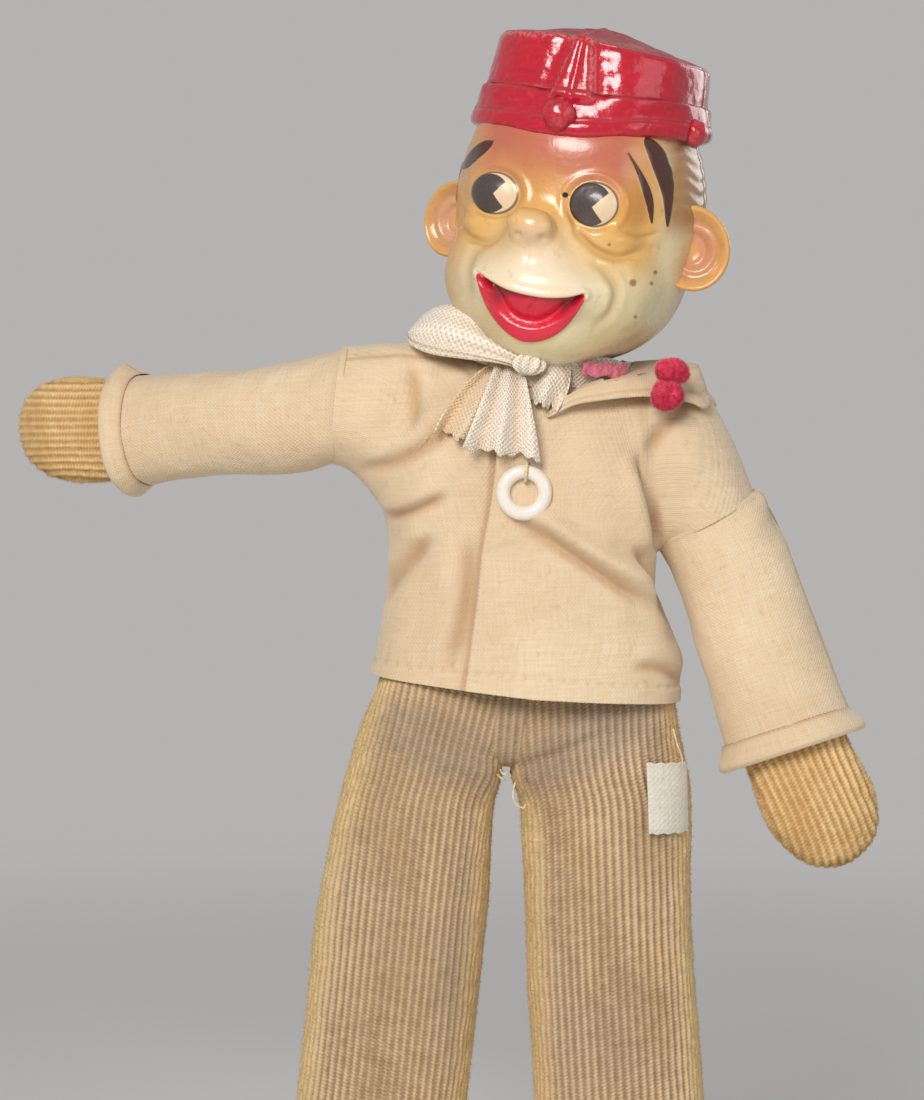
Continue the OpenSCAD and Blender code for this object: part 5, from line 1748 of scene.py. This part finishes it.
seat = dict(
    rows=60, around=260, square=2.4, rib=0.36,
    # height, half width, half depth
    heights=[(-6.0, 3, 5), (-5.4, 5.5, 12), (-3, 8, 15.4), (2, 10, 16.6), (9, 14, 16.2), (16, 24, 15.6),
             (20, 26, 15), (21, 24, 13)])


def makeSeat():
    # the seat between the legs, a rounded pouch under the jacket: ovals |x / wide|^n + |y / depth|^n = 1
    z, wide, depth = through(seat["heights"], np.linspace(0, 1, seat["rows"])).T
    straight, back = np.array([1.0, 0, 0]) * wide[:, None], np.array([0, 1.0, 0]) * depth[:, None]
    p = ovalRings(stacked(-4.3 + 3 * smooth(4, 16, z), 0 * z, z), straight, back, seat["around"],
                  seat["square"])
    u = ringLengths(p)
    rib = ribHeight(p[..., 0], trousers["wale"])
    p = p + unitRows(p - p.mean(1, keepdims=True)) * (seat["rib"] * rib)[..., None]
    # stain 0.7 is painted shade over the seat between the legs
    values = dict(cloth=stacked(p[..., 0], -p[..., 2], 0 * u), edge=0 * u, stain=0.7 + 0 * u)
    piece = solidGrid("trouserSeat", put(p, torsoPlace), oliveCord, values, body="torso")
    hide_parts("trouser_seat")
    return piece


foot = dict(x={right: -12.0, left: 46.2}, y=-4.1, wale=1.8,
            # height, middle of the length, half length, half width
            rows=[(2.3, -7.2, 23.6, 12.6), (3.4, -7.2, 25.0, 14.0), (6, -7.2, 25.0, 14.0),
                  (8.6, -6.6, 23.4, 13.2), (11, -5.2, 20, 12), (13.0, -2.8, 15.6, 10.9),
                  (15.4, -0.8, 12.4, 10.6), (18.5, 0, 10.8, 10.6), (22.8, 0, 10.2, 10.4)])


def makeFoot(side):
    # a soft shoe: ovals |x / wide|^n + |y / long|^n = 1 from the sole up, with ribs on top and round it
    word = sideName[side]
    t = np.linspace(0, 1, 110)
    z, middle, long, wide = through(foot["rows"], t).T
    centre = stacked(foot["x"][side] + 0 * z, foot["y"] + middle, z)
    p = ovalRings(centre, np.array([1.0, 0, 0]) * wide[:, None], np.array([0, 1.0, 0]) * long[:, None], 260,
                  2.3)
    n = awayFrom(p, normalsOf(p, True), p.mean(1, keepdims=True))
    across = p[..., 0] - foot["x"][side]
    up = smooth(0.1, 0.7, n[..., 2])
    rib = ribHeight(np.where(up > 0.5, across, ringLengths(p)), foot["wale"]) * np.abs(up - 0.5) * 2
    p = p + n * (0.3 * rib + 0.4 * rough(p, 18, 161 + side) + 0.1 * rough(p, 2.2, 163))[..., None]
    # edge is painted sheen on the shoe's sides
    values = dict(cloth=stacked(across, p[..., 1], 0 * across), edge=0.3 * (1 - up), stain=0.2 + 0 * rib)
    piece = solidGrid("foot" + word.title(), p, goldCord, values, body="leg_" + word)
    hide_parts("foot_" + word, "foot_stuffing_" + word)
    return piece


for side in (right, left):
    makeLeg(side)
    makeFoot(side)
makeSeat()
print("trousers and feet made")


# label and threads

def makeFinish(name, one, two, size, roughness, depth, **more):
    # two mottled shades and a little relief, for the plainer pieces
    w, done = newMaterial(name)
    spot = w.place()
    color = w.mix(w.step(w.noise(spot, size, 3.0), 0.35, 0.65), paint(one), paint(two))
    return done(color, roughness, w.bump(w.noise(spot, size * 0.4, 4.0, 0.6), depth), **more)


threadFinish = makeFinish("threadFinish", "#e8d8b4", "#cdb88c", 1.2, 0.8, 0.05, Sheen_Weight=0.3)
labelFinish = makeCotton("labelCloth", "#eae6da", "#dcd6c6", "#b3a78f", 1.5)


def makeLabel():
    # a bare tape label, sewn along its top and bottom, a little bowed
    v, u = np.linspace(0, 1, 60)[:, None], np.linspace(0, 1, 40)[None, :]
    x = 47.4 + 9.4 * u + 0.6 * v
    z = 137.2 - 15.8 * v - 0.4 * u + 0.15 * np.sin(u * 23)
    depth = trousers["middle"] - 16.6 * (1 - np.clip(np.abs((x - 38.6) / 19.6), 0, 0.999) ** 2.5) ** (1 / 2.5)
    y = depth - 1.0 - 0.8 * np.sin(np.pi * v) - 0.5 * u * (1 - v)
    p = stacked(x, y, z)
    # painted shade along the sewn lines at top and bottom
    values = dict(cloth=stacked(u * 10, v * 16, 0.0),
                  creaseShade=0.35 * bell(v - 0.05, 0.02) + 0.35 * bell(v - 0.95, 0.02) + 0 * u)
    piece = clothGrid("labelTag", p, 0.35, p + np.array([0, 20.0, 0]), labelFinish, values)
    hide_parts("label_tag")
    return piece


def makeThreads():
    # loose ends at the crotch and the label, each a smooth line through a few points
    loose = [[(53.2, -20.5, 144.8), (54.0, -21.6, 141.5), (55.0, -21.4, 138.8), (55.4, -20.0, 136.6)],
             [(18.6, -19.5, 133.0), (18.0, -20.4, 130.6), (18.4, -20.6, 128.4), (20.2, -20.0, 127.2),
              (20.8, -19.4, 128.0)],
             [(15.2, -18.5, 135.6), (15.9, -19.8, 134.6), (17.0, -19.4, 134.9), (17.6, -18.6, 133.9)],
             [(14.6, -18.0, 134.4), (15.6, -19.6, 133.6), (16.4, -18.4, 133.2)]]
    paths = [through(p, np.linspace(0, 1, 24)) for p in loose]
    return strandPiece("trouserThreads", paths, 0.22, threadFinish)


label = makeLabel()
threads = makeThreads()
for piece in (label, threads):
    bendAtHip(piece)
print("label and threads made")


# the pieces that keep their own solids

steelFinish = makeFinish("steelWire", "#8f8b84", "#6e6a63", 3.0, 0.38, 0.03, Metallic=1.0)
woodFinish = makeFinish("plugWood", "#b98d5c", "#96693c", 6.0, 0.6, 0.12)
boardFinish = makeFinish("soleBoard", "#8d6f45", "#715636", 5.0, 0.85, 0.15)
pearlFinish = makeFinish("pearlRing", "#f6f1e6", "#e4d8ca", 9.0, 0.14, 0.004, Coat_Weight=0.6,
                         Coat_Roughness=0.08)
plainFinish = {"steel_wire": steelFinish, "plug_wood": woodFinish, "sole_board": boardFinish,
               "pearl_ring": pearlFinish,
               "thread": threadFinish}
keeps = dict(neck_plug="plug_wood", neck_string="thread", spine_wire="steel_wire", shoulder_wire="steel_wire",
             hip_rod="steel_wire",
             ring_thread="thread", ring_button="pearl_ring")
for word in ("right", "left"):
    keeps.update({"shoulder_link_" + word: "steel_wire", "arm_wire_" + word: "steel_wire",
                  "leg_wire_" + word: "steel_wire",
                  "sole_" + word: "sole_board"})
for node, slot in keeps.items():
    solid = bpy.data.objects[node]
    solid.data.materials.clear()
    solid.data.materials.append(plainFinish[slot])
print("plain finishes set")
